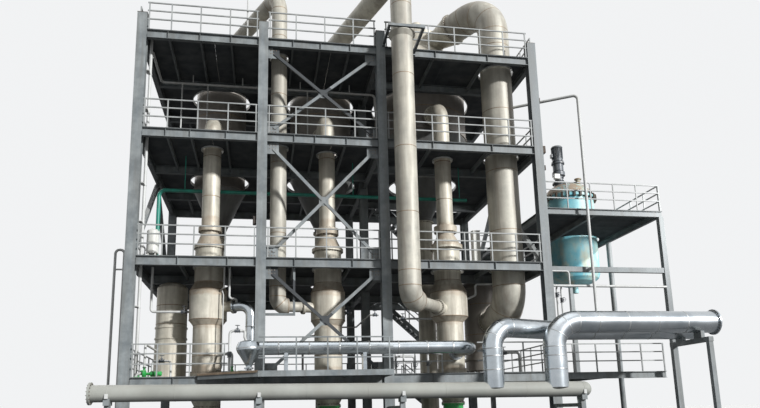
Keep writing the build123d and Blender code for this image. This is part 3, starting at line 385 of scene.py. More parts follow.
def stainlessSheet(name, look):
    material, shader, place, wear, rust, colour = startSteel(name, look, metallic=look["metal"])
    colour = dusted(place, colour, 0.35, (0.50, 0.47, 0.41))
    colour = mixColour(times(rust["Rust"], 0.6), colour, rust["Tone"])
    for low, high, depth in belts.get(name, []):
        band = placeGroup(beltTint, place, Low=low, High=high)
        colour = mixColour(times(band["Mask"], depth), colour, belts["tint"])
    feed(colour, shader["Base Color"])
    rough = remap(wear["Patches"], 0.0, 1.0, look["rough"] - 0.06, look["rough"] + 0.10)
    feed(calc("ADD", rough, times(wear["Streaks"], 0.12)), shader["Roughness"])
    grain = times(noiseOf(place, 30.0, 3.0), 0.06)
    bumpFrom(shader, calc("ADD", noiseOf(place, 2.2, 2.0), grain), 0.16, 0.03)
    return material


# Bright jacketing: thin rolled sheet, a little wavy, with dull smears. The blue in its two tones is a painted
# sky reflection
def brightJacket():
    look = {
        "dark": (0.44, 0.49, 0.53), "light": (0.66, 0.70, 0.73), "smear": (0.42, 0.43, 0.43),
        "dust": (0.55, 0.53, 0.49), "rough": (0.20, 0.30),
    }
    material, shader, place = newMaterial("brightJacket", metallic=1.0)
    wear = placeGroup(weathering, place, Streak_Size=2.0, Patch_Size=0.7)
    colour = mixColour(wear["Patches"], look["dark"], look["light"])
    colour = mixColour(times(wear["Streaks"], 0.3), colour, look["smear"])
    feed(dusted(place, colour, 0.25, look["dust"]), shader["Base Color"])
    feed(remap(wear["Patches"], 0.0, 1.0, *look["rough"]), shader["Roughness"])
    waves = noiseOf(stretched(place, (0.25, 0.25, 0.6)), 3.0, 2.0, 0.5)
    bumpFrom(shader, waves, 0.12, 0.02)
    return material


# Tank paint that has faded and come off in patches, with a brown crust on the dome
def fadedTank():
    look = {
        "blue": (0.12, 0.38, 0.46), "pale": (0.30, 0.52, 0.52), "bare": (0.50, 0.47, 0.34),
        "streak": (0.10, 0.20, 0.22), "dust": (0.45, 0.41, 0.33), "dome": (0.26, 0.16, 0.09), "level": 11.2,
    }
    material, shader, place = newMaterial("fadedTank")
    wear = placeGroup(weathering, place, Streak_Size=3.0, Patch_Size=1.1)
    rust = placeGroup(rustSpots, place, Spread=0.7)
    bare = remap(noiseOf(stretched(place, (1.0, 1.0, 0.45)), 1.5, 8.0, 0.68), 0.48, 0.64)
    colour = mixColour(wear["Patches"], look["blue"], look["pale"])
    colour = mixColour(times(bare, 0.75), colour, look["bare"])
    colour = mixColour(times(wear["Streaks"], 0.35), colour, look["streak"])
    colour = dusted(place, colour, 0.5, look["dust"])
    above = calc("SUBTRACT", axesOf(place)[2], look["level"])
    crust = remap(noiseOf(place, 2.6, 6.0, 0.65), 0.34, 0.5)
    crust = times(times(above, 6.0, True), crust)
    colour = mixColour(times(crust, 0.85), colour, look["dome"])
    feed(mixColour(rust["Rust"], colour, rust["Tone"]), shader["Base Color"])
    feed(remap(bare, 0.0, 1.0, 0.42, 0.7), shader["Roughness"])
    bumpFrom(shader, bare, 0.2, 0.002)
    return material


materials = {name: paintedSteel(name, look) for name, look in paintLooks.items()}
materials.update({name: stainlessSheet(name, look) for name, look in sheetLooks.items()})
for name in ("heaterSteel1", "heaterSteel2", "heaterSteel3", "riserSteel"):
    materials[name] = stainlessSheet(name, sheetLooks["vesselSteel"])
for made in (shadedBracePaint(), chequeredPlate(), brightJacket(), fadedTank()):
    materials[made.name] = made
print("materials ready:", len(materials))

finishes = {
    "frameSteel": [
        "front_columns", "rear_columns", "front_walkway", "pipe_stands", "crystalliser_frame", "stairs",
        *[f"floor_{n}_beams" for n in (1, 2, 3, 4)],
    ],
    "chequeredPlate": ["crystalliser_floors", *[f"floor_{n}_plates" for n in (1, 2, 3, 4)]],
    "braceShadedSteel": ["bracing"],
    "railSteel": ["floor_railings", "crystalliser_railing"],
    "heaterSteel1": ["heater_shell_1"],
    "heaterSteel2": ["heater_shell_2"],
    "heaterSteel3": ["heater_shell_3"],
    "riserSteel": ["riser_pipes"],
    "vesselSteel": ["heater_bottoms", "flash_tank", "downcomers", "separator_heads"],
    "separatorShadedSteel": ["separator_shell_1", "separator_shell_2", "separator_shell_3", "condenser"],
    "coneShadedSteel": ["separator_cones"],
    "ductSteel": ["vapour_duct_1", "vapour_duct_2", "vapour_duct_3"],
    "brightJacket": ["steam_main", "supply_ducts"],
    "headerPaint": ["supply_header"],
    "pumpGreen": ["circulation_pumps"],
    "fadedTank": ["crystalliser_shell", "crystalliser_ends"],
    "driveGrey": ["agitator_drive"],
    "pipeGrey": ["service_pipes"],
    "drumWhite": ["dosing_drum"],
    "pipeGreen": ["cooling_pipe"],
}
for finish, names in finishes.items():
    for name in names:
        nodes[name].data.materials.clear()
        nodes[name].data.materials.append(materials[finish])


# Shapes for the added pieces
right, back, up = (1, 0, 0), (0, 1, 0), (0, 0, 1)


def upright(centre, axis):
    return Matrix.Translation(centre) @ Vector(axis).to_track_quat("Z", "Y").to_matrix().to_4x4()


def spunAt(x, y, angle):
    return Matrix.Translation((x, y, 0)) @ Matrix.Rotation(angle, 4, "Z")


def scaled(profile, size):
    return [(radius * size, height * size) for radius, height in profile]


def finishPiece(name, finish, bm):
    bmesh.ops.remove_doubles(bm, verts=bm.verts, dist=0.00005)
    bmesh.ops.recalc_face_normals(bm, faces=bm.faces)
    for face in bm.faces:
        face.smooth = True
    mesh = bpy.data.meshes.new(name)
    bm.to_mesh(mesh)
    bm.free()
    mesh.set_sharp_from_angle(angle=math.radians(34))
    mesh.materials.append(materials[finish])
    piece = bpy.data.objects.new(name, mesh)
    bpy.context.scene.collection.objects.link(piece)
    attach(piece, "root")


# Every shape is made in a small mesh of its own and then joined, which is much faster
def apart(makeShape):
    def inner(bm, *values, **named):
        small = bmesh.new()
        makeShape(small, *values, **named)
        mesh = bpy.data.meshes.new("joinedShape")
        small.to_mesh(mesh)
        small.free()
        bm.from_mesh(mesh)
        bpy.data.meshes.remove(mesh)
    return inner


@apart
def addBlock(bm, low, high, bevel=0.004, turn=None):
    size = [b - a for a, b in zip(low, high)]
    middle = Matrix.Translation([(a + b) / 2 for a, b in zip(low, high)])
    place = (turn or Matrix()) @ middle @ Matrix.Diagonal((*size, 1))
    made = bmesh.ops.create_cube(bm, size=1.0, matrix=place)
    edges = list({edge for vert in made["verts"] for edge in vert.link_edges})
    bmesh.ops.bevel(bm, geom=edges, offset=bevel, segments=1, affect="EDGES", profile=0.5, material=-1)


@apart
def addTurned(bm, profile, centre, axis, steps=32, closed=False):
    place = upright(centre, axis)
    verts = [bm.verts.new(place @ Vector((radius, 0, height))) for radius, height in profile]
    pairs = list(zip(verts, verts[1:])) + ([(verts[-1], verts[0])] if closed else [])
    edges = [bm.edges.new(pair) for pair in pairs]
    bmesh.ops.spin(bm, geom=verts + edges, cent=centre, axis=Vector(axis).normalized(),
                   angle=math.tau, steps=steps, use_merge=True)


# A raised band round a pipe or a shell, sunk a little into it
def addHoop(bm, centre, axis, radius, width, rise, steps=56):
    half, flat, sunk = width / 2, width * 0.28, 0.005
    profile = [
        (radius - sunk, -half), (radius + rise * 0.5, -half), (radius + rise, -flat), (radius + rise, flat),
        (radius + rise * 0.5, half), (radius - sunk, half),
    ]
    addTurned(bm, profile, centre, axis, steps, closed=True)


@apart
def addRod(bm, start, end, radius, sides=10):
    along = end - start
    bmesh.ops.create_cone(bm, cap_ends=True, segments=sides, radius1=radius, radius2=radius,
                          depth=along.length, matrix=upright((start + end) / 2, along))


# A pipe is a circle that is pushed along its runs and spun round its bends
@apart
def addPipe(bm, points, radius, bend=0.1, sides=14):
    points = [Vector(point) for point in points]
    place = points[0]
    heading = (points[1] - place).normalized()
    made = bmesh.ops.create_circle(bm, cap_ends=True, segments=sides, radius=radius,
                                   matrix=upright(place, heading))
    face = made["verts"][0].link_faces[0]
    for index, corner in enumerate(points[1:], 1):
        following = points[index + 1] if index + 1 < len(points) else None
        heading = (corner - points[index - 1]).normalized()
        ahead = (following - corner).normalized() if following else heading
        angle = heading.angle(ahead)
        reach = bend * math.tan(angle / 2)
        stop = corner - heading * reach
        moved = bmesh.ops.extrude_face_region(bm, geom=[face])["geom"]
        verts = [item for item in moved if isinstance(item, bmesh.types.BMVert)]
        bmesh.ops.translate(bm, vec=stop - place, verts=verts)
        if index > 1 and face.is_valid:
            bmesh.ops.delete(bm, geom=[face], context="FACES_ONLY")  # no wall is left inside the pipe
        face = [item for item in moved if isinstance(item, bmesh.types.BMFace)][0]
        place = stop
        if following and angle > 0.01:
            axis = heading.cross(ahead).normalized()
            pivot = stop + axis.cross(heading) * bend
            spun = bmesh.ops.spin(bm, geom=[face, *face.edges, *face.verts], cent=pivot, axis=axis,
                                  angle=angle, steps=6)
            face = [item for item in spun["geom_last"] if isinstance(item, bmesh.types.BMFace)][0]
            place = corner + ahead * reach


# A bend's bands stand square to its centre line, from one end of the bend to the other
def addBendBands(bm, before, corner, after, bend, count, radius, width, rise):
    before, corner, after = Vector(before), Vector(corner), Vector(after)
    enter, leave = (corner - before).normalized(), (after - corner).normalized()
    angle, axis = enter.angle(leave), enter.cross(leave).normalized()
    start = corner - enter * bend * math.tan(angle / 2)
    pivot = start + axis.cross(enter) * bend
    for index in range(count):
        turn = Matrix.Rotation(angle * index / (count - 1), 3, axis)
        addHoop(bm, pivot + turn @ (start - pivot), turn @ enter, radius, width, rise)


# A ring of bolts on both faces of a flange: each has a washer, a nut and a thread end
@apart
def addBolts(bm, centre, axis, pitch, half, count, size):
    parts = [(8, 1.0, 0.0, 0.16), (6, 0.86, 0.16, 0.85), (6, 0.42, 0.85, 1.25)]
    place = upright(centre, axis)
    for side, step in product((1, -1), range(count)):
        around = Matrix.Rotation(math.tau * (step + 0.5) / count, 4, "Z")
        seat = place @ around @ Matrix.Translation((pitch, 0, side * half))
        for sides, wide, low, high in parts:
            shift = Matrix.Translation((0, 0, side * (low + high) / 2 * size))
            bmesh.ops.create_cone(bm, cap_ends=True, segments=sides, radius1=wide * size, radius2=wide * size,
                                  depth=(high - low) * size, matrix=seat @ shift)


# A valve has two flanges, a swollen body, a bonnet and a handwheel, all in units of its size
def addValve(bm, centre, axis, size, stem):
    body = [
        (0, -1.7), (1.5, -1.7), (1.5, -1.35), (0.9, -1.3), (1.15, -0.6),
        (1.15, 0.6), (0.9, 1.3), (1.5, 1.35), (1.5, 1.7), (0, 1.7),
    ]
    bonnet = [
        (0, 0.8), (0.75, 0.9), (0.75, 1.5), (1.0, 1.5), (1.0, 1.75),
        (0.4, 1.85), (0.3, 3.1), (0.18, 3.3), (0.18, 4.0), (0, 4.0),
    ]
    wheel = {"radius": 1.5, "rim": 0.16, "level": 3.8, "sides": 6}
    ring = [math.tau * side / wheel["sides"] for side in range(wheel["sides"])]
    ring = [(wheel["radius"] + wheel["rim"] * math.cos(a), wheel["rim"] * math.sin(a)) for a in ring]
    rim = Vector(centre) + Vector(stem) * wheel["level"] * size
    addTurned(bm, scaled(body, size), centre, axis, 16)
    addTurned(bm, scaled(bonnet, size), centre, stem, 14)
    addTurned(bm, scaled(ring, size), rim, stem, 20, closed=True)
    reach, half, thick = wheel["radius"] * size, 0.1 * size, 0.07 * size
    for angle in (0, math.pi / 2):
        spoke = upright(rim, stem) @ Matrix.Rotation(angle, 4, "Z")
        addBlock(bm, (-reach, -half, -thick), (reach, half, thick), 0.02 * size, spoke)


# Axes, radii and levels of the plant in metres, as in the part's source. A flange on a level is given as its
# lower face, its thickness and the radius of its bolt circle
plant = {"columns": [0, 4.35, 8.8, 15], "depth": 9.65, "levels": [2.8, 6.9, 11.55, 15.35]}
heaters = [
    {"axis": (2.465, 1.675), "belt": 0.675, "hole": 0.58, "channel": (7.58, 0.11, 0.547),
     "riserFoot": (8.24, 0.16, 0.385), "inlet": (3.82, 12.69), "riser": 0.33},
    {"axis": (6.865, 1.675), "belt": 0.645, "hole": 0.6, "channel": (7.55, 0.11, 0.565),
     "riserFoot": (8.23, 0.24, 0.377), "inlet": (3.51, 13.06), "riser": 0.315},
    {"axis": (11.605, 1.675), "belt": 0.73, "hole": 0.65, "channel": (7.75, 0.16, 0.605),
     "riserFoot": (8.45, 0.24, 0.4), "inlet": (2.575, 13.9), "riser": 0.33},
]
separators = [
    {"axis": (2.525, 5.325), "radius": 1.075, "leg": 0.25, "foot": (9.0, 0.285), "holes": (1.25, 1.25)},
    {"axis": (6.945, 5.325), "radius": 1.385, "leg": 0.275, "foot": (9.3, 0.31), "holes": (1.525, 1.525)},
    {"axis": (11.575, 5.025), "radius": 2.1, "leg": 0.38, "foot": (9.85, 0.415), "holes": (1.55, 2.25)},
]
condenser = {"axis": (13.775, 4.125), "radius": 0.75}
flashTank = {"axis": (1.045, 2.825), "radius": 0.565}
ducts = [
    {"axis": (4.965, 1.225), "radius": 0.305, "outlet": 17.55, "top": 18.15, "topBend": 0.64,
     "low": 5.38, "lowBend": 0.348, "into": heaters[1], "hole": 0.385},
    {"axis": (9.475, -0.925), "radius": 0.4, "outlet": 17.5, "top": 18.15, "topBend": 0.84,
     "low": 5.31, "lowBend": 0.456, "into": heaters[2]},
    {"axis": (13.955, 1.225), "radius": 0.64, "outlet": 18.25, "top": 18.6, "topBend": 1.344,
     "low": 5.10, "lowBend": 1.088, "into": condenser, "hole": 0.73},
]
steamMain = {"x": 4.01, "y": -1.025, "level": 3.63, "radius": 0.225}
steamBranch = (4.02, 1.025)
header = {"y": -2.225, "left": -0.475, "length": 15.7, "level": 2.22, "fall": 0.13, "radius": 0.25}
supplyDucts = [
    {"x": 11.875, "level": 4.17, "radius": 0.33, "bend": 0.726, "onward": (14.75, -1.165),
     "joints": (16.0, 17.1, 18.2, 19.2)},
    {"x": 14.055, "level": 4.33, "radius": 0.38, "bend": 0.836, "onward": (20.1, -2.225),
     "joints": (15.6, 16.7, 17.8, 18.9)},
]
crystalliser = {"axis": (18.78, 5.125), "drive": (18.4, 5.125)}


def headerLevel(x):
    return header["level"] - header["fall"] * (x - header["left"]) / header["length"]


# Bolts of the base flange and of the channel flange of each heater
def heaterBolts(bm):
    baseLevel, base = 2.95, {"pitch": 0.552, "half": 0.06, "count": 32, "size": 0.02}
    channel = {"count": 32, "size": 0.021}
    for heater in heaters:
        low, tall, pitch = heater["channel"]
        addBolts(bm, (*heater["axis"], baseLevel), up, **base)
        addBolts(bm, (*heater["axis"], low + tall / 2), up, pitch, tall / 2, **channel)


# Bolts of each riser's foot over its heater, and of its flange at the separator
def riserBolts(bm):
    foot, inlet = {"count": 20, "size": 0.026}, {"half": 0.045, "count": 20, "size": 0.024}
    for heater in heaters:
        low, tall, pitch = heater["riserFoot"]
        addBolts(bm, (*heater["axis"], low + tall / 2), up, pitch, tall / 2, **foot)
        addBolts(bm, (heater["axis"][0], *heater["inlet"]), back, pitch, **inlet)


# Bolts of the belt nozzles, of the steam inlet and of the first two heads' outlets
def nozzleBolts(bm):
    half, side, head = 0.045, 0.022, 0.024
    # Vessel, the axis it is joined to, distance of the flange, level, bolt circle and number of bolts
    nozzles = [
        (heaters[0], steamBranch, 1.005, 5.38, 0.225, 16),
        (heaters[1], ducts[0]["axis"], 0.975, 5.38, 0.225, 16),
        (heaters[2], ducts[1]["axis"], 1.11, 5.31, 0.26, 20),
        (condenser, ducts[2]["axis"], 0.9, 5.10, 0.49, 28),
    ]
    for vessel, end, reach, level, pitch, count in nozzles:
        x, y = vessel["axis"]
        heading = Vector((end[0] - x, end[1] - y, 0)).normalized()
        centre = (x + heading.x * reach, y + heading.y * reach, level)
        addBolts(bm, centre, heading, pitch, half, count, side)
    addBolts(bm, (heaters[2]["axis"][0], 0.975, steamMain["level"]), back, 0.26, half, 20, side)
    addBolts(bm, (*separators[0]["axis"], 16.92), up, 0.34, half, 20, head)
    addBolts(bm, (*separators[1]["axis"], 16.62), up, 0.435, half, 24, head)


# Bolts under the separators and heaters, and on the open ends of the supply ducts and of the header
def lowerBolts(bm):
    size, bottomLevel, bottom = 0.022, 1.75, {"pitch": 0.41, "half": 0.05, "count": 20}
    ends = [
        ((20.1, header["y"] + 1.06, 4.17), 0.365, 0.025, 20), ((20.1, header["y"], 4.33), 0.415, 0.025, 24),
        ((-0.495, header["y"], header["level"]), 0.29, 0.03, 16),
    ]
    for separator in separators:
        level, pitch = separator["foot"]
        addBolts(bm, (*separator["axis"], level), up, pitch, 0.045, 16, size)
    for heater in heaters:
        addBolts(bm, (*heater["axis"], bottomLevel), up, size=size, **bottom)
    for centre, pitch, half, count in ends:
        addBolts(bm, centre, right, pitch, half, count, size)


# Bolts of the flange in the third duct's sloping run
def topDuctBolts(bm):
    along, flange = 2.3, {"pitch": 0.675, "half": 0.045, "count": 32, "size": 0.024}
    start = Vector((*separators[2]["axis"], ducts[2]["outlet"]))
    heading = (Vector((*ducts[2]["axis"], ducts[2]["top"])) - start).normalized()
    addBolts(bm, start + heading * along, heading, **flange)


# Weld seams round the ducts and the vessels, a little proud and brown from the heat
seam = {"width": 0.028, "rise": 0.005}


def addSeams(bm, axis, levels, radius, **band):
    for level in levels:
        addHoop(bm, (*axis, level), up, radius, **band)


def ductWelds(bm):
    levels = [(16.2, 13.7, 10.9, 8.12, 6.1), (16.6, 13.7, 10.86, 8.4, 6.3), (16.4, 13.5, 10.9, 8.4)]
    for duct, separator, heights in zip(ducts, separators, levels):
        axis, radius = duct["axis"], duct["radius"]
        addSeams(bm, axis, heights, radius, **seam)
        start, corner = (*separator["axis"], duct["outlet"]), (*axis, duct["top"])
        addBendBands(bm, start, corner, (*axis, 6), duct["topBend"], 4, radius, **seam)
        corner, end = (*axis, duct["low"]), (*duct["into"]["axis"], duct["low"])
        addBendBands(bm, (*axis, 12), corner, end, duct["lowBend"], 3, radius, **seam)


def shellWelds(bm):
    narrow, wideSeam = 0.52, {"width": 0.04, "rise": 0.006, "steps": 72}
    # Heater below and above its belt, the belt, and the riser
    heaterLevels = [
        ((3.6, 4.71, 6.29, 7.1), (4.91, 6.0), (9.6, 11.2)),
        ((3.6, 4.69, 6.3, 7.1), (4.89, 5.97), (9.7, 11.3)),
        ((3.6, 4.83, 6.46, 7.2), (5.03, 5.99), (9.8, 11.4)),
    ]
    # Separator shell and its leg
    separatorLevels = [((12.6, 14.3), (8.0, 6.2)), ((12.9, 14.4), (8.2, 6.2)), ((14.6, 15.9), (8.6, 6.2))]
    for heater, (shell, belt, riser) in zip(heaters, heaterLevels):
        addSeams(bm, heater["axis"], shell, narrow, **seam)
        addSeams(bm, heater["axis"], belt, heater["belt"], **seam)
        addSeams(bm, heater["axis"], riser, heater["riser"], **seam)
    for separator, (shell, leg) in zip(separators, separatorLevels):
        addSeams(bm, separator["axis"], shell, separator["radius"], **wideSeam)
        addSeams(bm, separator["axis"], leg, separator["leg"], **seam)
    addSeams(bm, condenser["axis"], (4.6, 5.9), condenser["radius"], **seam)
    addSeams(bm, flashTank["axis"], (4.9, 5.6), flashTank["radius"], **seam)


# Sheet joints of the bright jacketing, closer together round the bends
def jacketBands(bm):
    mainJoint, ductJoint = {"width": 0.05, "rise": 0.006}, {"width": 0.04, "rise": 0.004}
    main = {"along": (4.95, 5.95, 6.95, 7.95, 8.95, 9.95, 10.85), "inward": (-0.45, 0.35)}
    y, z, radius = steamMain["y"], steamMain["level"], steamMain["radius"]
    for x in main["along"]:
        addHoop(bm, (x, y, z), right, radius, **mainJoint)
    for deep in main["inward"]:
        addHoop(bm, (heaters[2]["axis"][0], deep, z), back, radius, **mainJoint)
    addHoop(bm, (steamMain["x"], y, z - 0.01), up, 0.41, **mainJoint)  # cone end
    addSeams(bm, steamBranch, (4.05, 4.6), 0.19, width=0.045, rise=0.005)
    for duct in supplyDucts:
        x, y, z, radius = duct["x"], header["y"], duct["level"], duct["radius"]
        addSeams(bm, (x, y), (2.75, 3.2), radius, **ductJoint)
        addBendBands(bm, (x, y, 2), (x, y, z), (*duct["onward"], z), duct["bend"], 4, radius, 0.035, 0.004)
        for along in duct["joints"]:
            addHoop(bm, (along, duct["onward"][1], z), right, radius, **ductJoint)


# Kerb rings in the floor holes
def kerbRings(bm):
    kerb = {"width": 0.13, "rise": 0.012, "steps": 64}
    drop, inside, riserHole = 0.01, 0.006, 0.415
    ductHoles = [(duct["axis"], duct["hole"]) for duct in (ducts[0], ducts[2])]
    floors = {
        1: [(heater["axis"], heater["hole"]) for heater in heaters] + ductHoles[1:],
        2: [(heater["axis"], riserHole) for heater in heaters] + ductHoles
        + [(separator["axis"], separator["holes"][0]) for separator in separators],
        3: [(separator["axis"], separator["holes"][1]) for separator in separators] + ductHoles,
    }
    for floor, holes in floors.items():
        for axis, radius in holes:
            addHoop(bm, (*axis, plant["levels"][floor] - drop), up, radius - inside, **kerb)


# Small process lines, each from one carrier to the next: radius, then corners
def processLines(bm):
    bend = 0.11
    lines = [
        (0.045, (0.46, 1.675, 6.9), (0.46, 1.675, 5.23), (1.85, 1.675, 5.23)),  # at heater 1
        (0.04, (3.25, 0.9, 6.9), (3.25, 0.9, 5.6), (3.5, 0.9, 5.6), (3.5, 1.2, 5.45)),
        (0.03, (3.06, 0.9, 6.9), (3.06, 0.9, 5.98), (2.9, 1.25, 5.98)),
        (0.02, (2.99, 1.0, 5.9), (3.04, 0.93, 5.75), (3.04, 0.93, 3.1), (2.8, 1.4, 3.1)),
        (0.045, (13.5, 1.6, 6.37), (12.72, 1.675, 6.37), (12.72, 1.675, 5.93), (12.3, 1.675, 5.75)),
        (0.04, (10.9, 1.675, 4.99), (9.6, 1.675, 4.99)),  # at heater 3
        (0.05, (7.45, 1.675, 5.21), (7.76, 1.675, 5.21)),  # at heater 2
        (0.035, (7.0, 5.325, 5.13), (8.45, 5.325, 5.13), (8.45, 1.675, 5.13), (8.8, 1.675, 5.13)),
        (0.045, (3.35, -0.2, 2.8), (3.35, -0.2, 4.3), (3.85, -0.2, 4.3), (3.85, -0.55, 4.05),
         (3.98, -0.95, 3.7)),  # into the steam main
        (0.04, (9.2, 0.6, 2.8), (9.2, 0.6, 3.45), (9.9, 0.6, 3.45), (9.9, 0.6, 2.8)),  # on the first floor
        (0.045, (10.4, 0.6, 2.8), (10.4, 0.6, 3.6), (11.25, 1.5, 3.6)),
        (0.03, (9.45, 0.4, 2.8), (9.45, 0.4, 3.9), (9.45, 1.3, 3.9), (11.25, 1.6, 3.9)),
        (0.05, (13.2, 0.7, 2.8), (13.2, 0.7, 3.9), (13.35, 3.75, 3.9)),
        (0.045, (12.7, 0.5, 2.8), (12.7, 0.5, 3.55), (13.9, 0.5, 3.55), (13.9, 0.5, 2.8)),
        (0.035, (0.8, 0.35, 2.8), (0.8, 0.35, 3.35), (1.4, 0.35, 3.35), (1.4, 0.35, 2.8)),
        *[(0.035, (x, 0.2, 2.8), (x, 0.2, 6.03), (x, 0.05, 6.03)) for x in (15.455, 15.64)],  # side bay
        (0.05, (15.175, 0.05, 6.03), (20.0, 0.05, 6.03)),
        (0.035, (15.94, 0.05, 6.03), (15.94, 0.05, 6.6), (15.17, 0.05, 6.6)),
        (0.05, (1.9, 6.231, 3.2), (1.9, 6.231, 4.6), (2.45, 5.4, 4.6)),  # outlet and inlet of each floor pump
        (0.06, (1.9, 6.2, 2.956), (1.9, 5.6, 2.956), (2.4, 5.4, 2.956)),
        (0.05, (6.2, 6.431, 3.2), (6.2, 6.431, 4.8), (6.85, 5.4, 4.8)),
        (0.06, (6.2, 6.4, 2.956), (6.2, 5.7, 2.956), (6.8, 5.4, 2.956)),
        (0.04, (0.59, 0.12, 3.1), (0.59, 0.12, 3.9), (0.59, 2.4, 3.9), (0.8, 2.7, 3.9)),
        (0.045, (0.56, 0.12, 2.92), (0.33, 0.12, 2.92), (0.33, 0.12, 2.8)),
        (0.04, (3.42, 0.3, 3.1), (3.42, 0.3, 3.6), (2.8, 1.4, 3.6)),
        (0.045, (3.39, 0.3, 2.92), (3.16, 0.3, 2.92), (3.16, 0.3, 2.8)),
    ]
    for radius, *points in lines:
        addPipe(bm, points, radius, bend)


# Valves in the process lines: centre, way of the line and size
def smallValves(bm):
    valves = [
        ((1.62, 1.675, 5.23), right, 0.055), ((3.35, -0.2, 3.5), up, 0.055), ((3.6, -0.2, 4.3), right, 0.05),
        ((9.2, 0.6, 3.15), up, 0.05), ((9.9, 0.6, 3.15), up, 0.05), ((10.4, 0.6, 3.2), up, 0.055),
        ((9.75, 1.675, 4.99), right, 0.05), ((7.62, 1.675, 5.21), right, 0.06),
        ((8.66, 1.675, 5.13), right, 0.045), ((13.2, 0.7, 3.4), up, 0.06), ((13.3, 0.5, 3.55), right, 0.055),
        ((15.455, 0.2, 5.7), up, 0.05), ((15.64, 0.2, 5.5), up, 0.05), ((4.01, -1.025, 2.9), up, 0.06),
        ((1.1, 0.35, 3.35), right, 0.05),
    ]
    for centre, axis, size in valves:
        addValve(bm, centre, axis, size, (0, -1, 0) if axis == up else up)


# Conduit and pipe under the top floor, the thin drops from it, and the clamps of the corner pipe
def roofLines(bm):
    z, clampLevels = 14.95, (3.6, 5.2, 8.2, 9.6, 12.4, 13.9)
    under = [(0.26, 0.75, z), (0.26, 3.06, z), (9.1, 3.05, z), (9.1, 3.05, 14.3)]
    addPipe(bm, [(0.28, 0.6, 14.6), *under, (9.75, 4.5, 14.1)], 0.05, 0.16)
    for x in (1.08, 2.1, 6.2):
        addPipe(bm, [(x, 3.05, z), (x, 2.95, plant["levels"][2])], 0.028, 0.05)
    for x in (1.5, 3.5, 5.9, 8.0):
        addBlock(bm, (x - 0.02, 3.03, z), (x + 0.02, 3.07, 15.34), 0.003)
    for level in clampLevels:
        addHoop(bm, (0.245, 0.525, level), up, 0.055, 0.05, 0.012, 20)
        addBlock(bm, (0.14, 0.17, level - 0.02), (0.265, 0.48, level + 0.02), 0.003)


# A small pump with a finned motor, in units of its size
def addPump(bm, centre, heading, size):
    x, y, z = centre
    fin, first, pitch, count = [(0.36, 0), (0.44, 0.02), (0.44, 0.07), (0.36, 0.09)], 0.35, 0.14, 9
    fins = [(radius, first + index * pitch + along) for index in range(count) for radius, along in fin]
    motor = [(0, 0.2), (0.3, 0.2), (0.34, 0.3), *fins]
    motor += [(0.36, 1.75), (0.42, 1.78), (0.42, 2.05), (0.3, 2.15), (0, 2.15)]
    volute = [(0, -0.95), (0.5, -0.95), (0.66, -0.8), (0.66, -0.5), (0.5, -0.35), (0.25, -0.3), (0.25, 0.2)]
    volute += [(0, 0.2)]
    outlet = [(0, 0), (0.2, 0), (0.2, 0.5), (0.32, 0.5), (0.32, 0.6), (0, 0.6)]
    shaft = (x, y, z + 0.6 * size)
    addTurned(bm, scaled(motor, size), shaft, heading, 20)
    addTurned(bm, scaled(volute, size), shaft, heading, 24)
    above = (x - heading[0] * 0.65 * size, y - heading[1] * 0.65 * size, z + 1.1 * size)
    addTurned(bm, scaled(outlet, size), above, up, 18)
    turn = upright(centre, up) @ Matrix.Rotation(math.atan2(heading[1], heading[0]), 4, "Z")
    blocks = [((-1.0, -0.45, 0.0), (2.2, 0.45, 0.12), 0.01), ((0.52, -0.35, 0.1), (0.68, 0.35, 0.35), 0.006),
              ((1.42, -0.35, 0.1), (1.58, 0.35, 0.35), 0.006), ((0.85, -0.16, 0.95), (1.2, 0.16, 1.2), 0.01)]
    for low, high, bevel in blocks:  # base plate, two feet and terminal box
        addBlock(bm, [value * size for value in low], [value * size for value in high], bevel, turn)


def floorPumps(bm):
    for x, y in ((0.72, 0.12), (3.55, 0.3)):
        addPump(bm, (x, y, plant["levels"][0]), right, 0.2)
    for x, y in ((1.9, 6.4), (6.2, 6.6)):
        addPump(bm, (x, y, plant["levels"][0]), back, 0.26)


# Foot plates of the rail posts. The walkway takes the place of the front rail of the first floor
def railFeet(bm):
    foot = {"half": 0.05, "thick": 0.01, "outside": 0.123, "bevel": 0.003}
    along = [
        0.235, 1.02, 2.06, 3.12, 4.115, 4.585, 5.56, 6.65, 7.75,
        8.565, 9.035, 9.75, 10.74, 11.8, 12.85, 13.82, 14.765,
    ]
    deep = [0.2 + 1.027 * index for index in range(10)]
    lastX, lastY = plant["columns"][3] + foot["outside"], plant["depth"] + foot["outside"]
    for level, z in enumerate(plant["levels"]):
        places = [(x, lastY) for x in along] + [(x, y) for x in (-foot["outside"], lastX) for y in deep]
        if level:
            places += [(x, -foot["outside"]) for x in along]
        for x, y in places:
            corner = (x + foot["half"], y + foot["half"], z + foot["thick"])
            addBlock(bm, (x - foot["half"], y - foot["half"], z), corner, foot["bevel"])


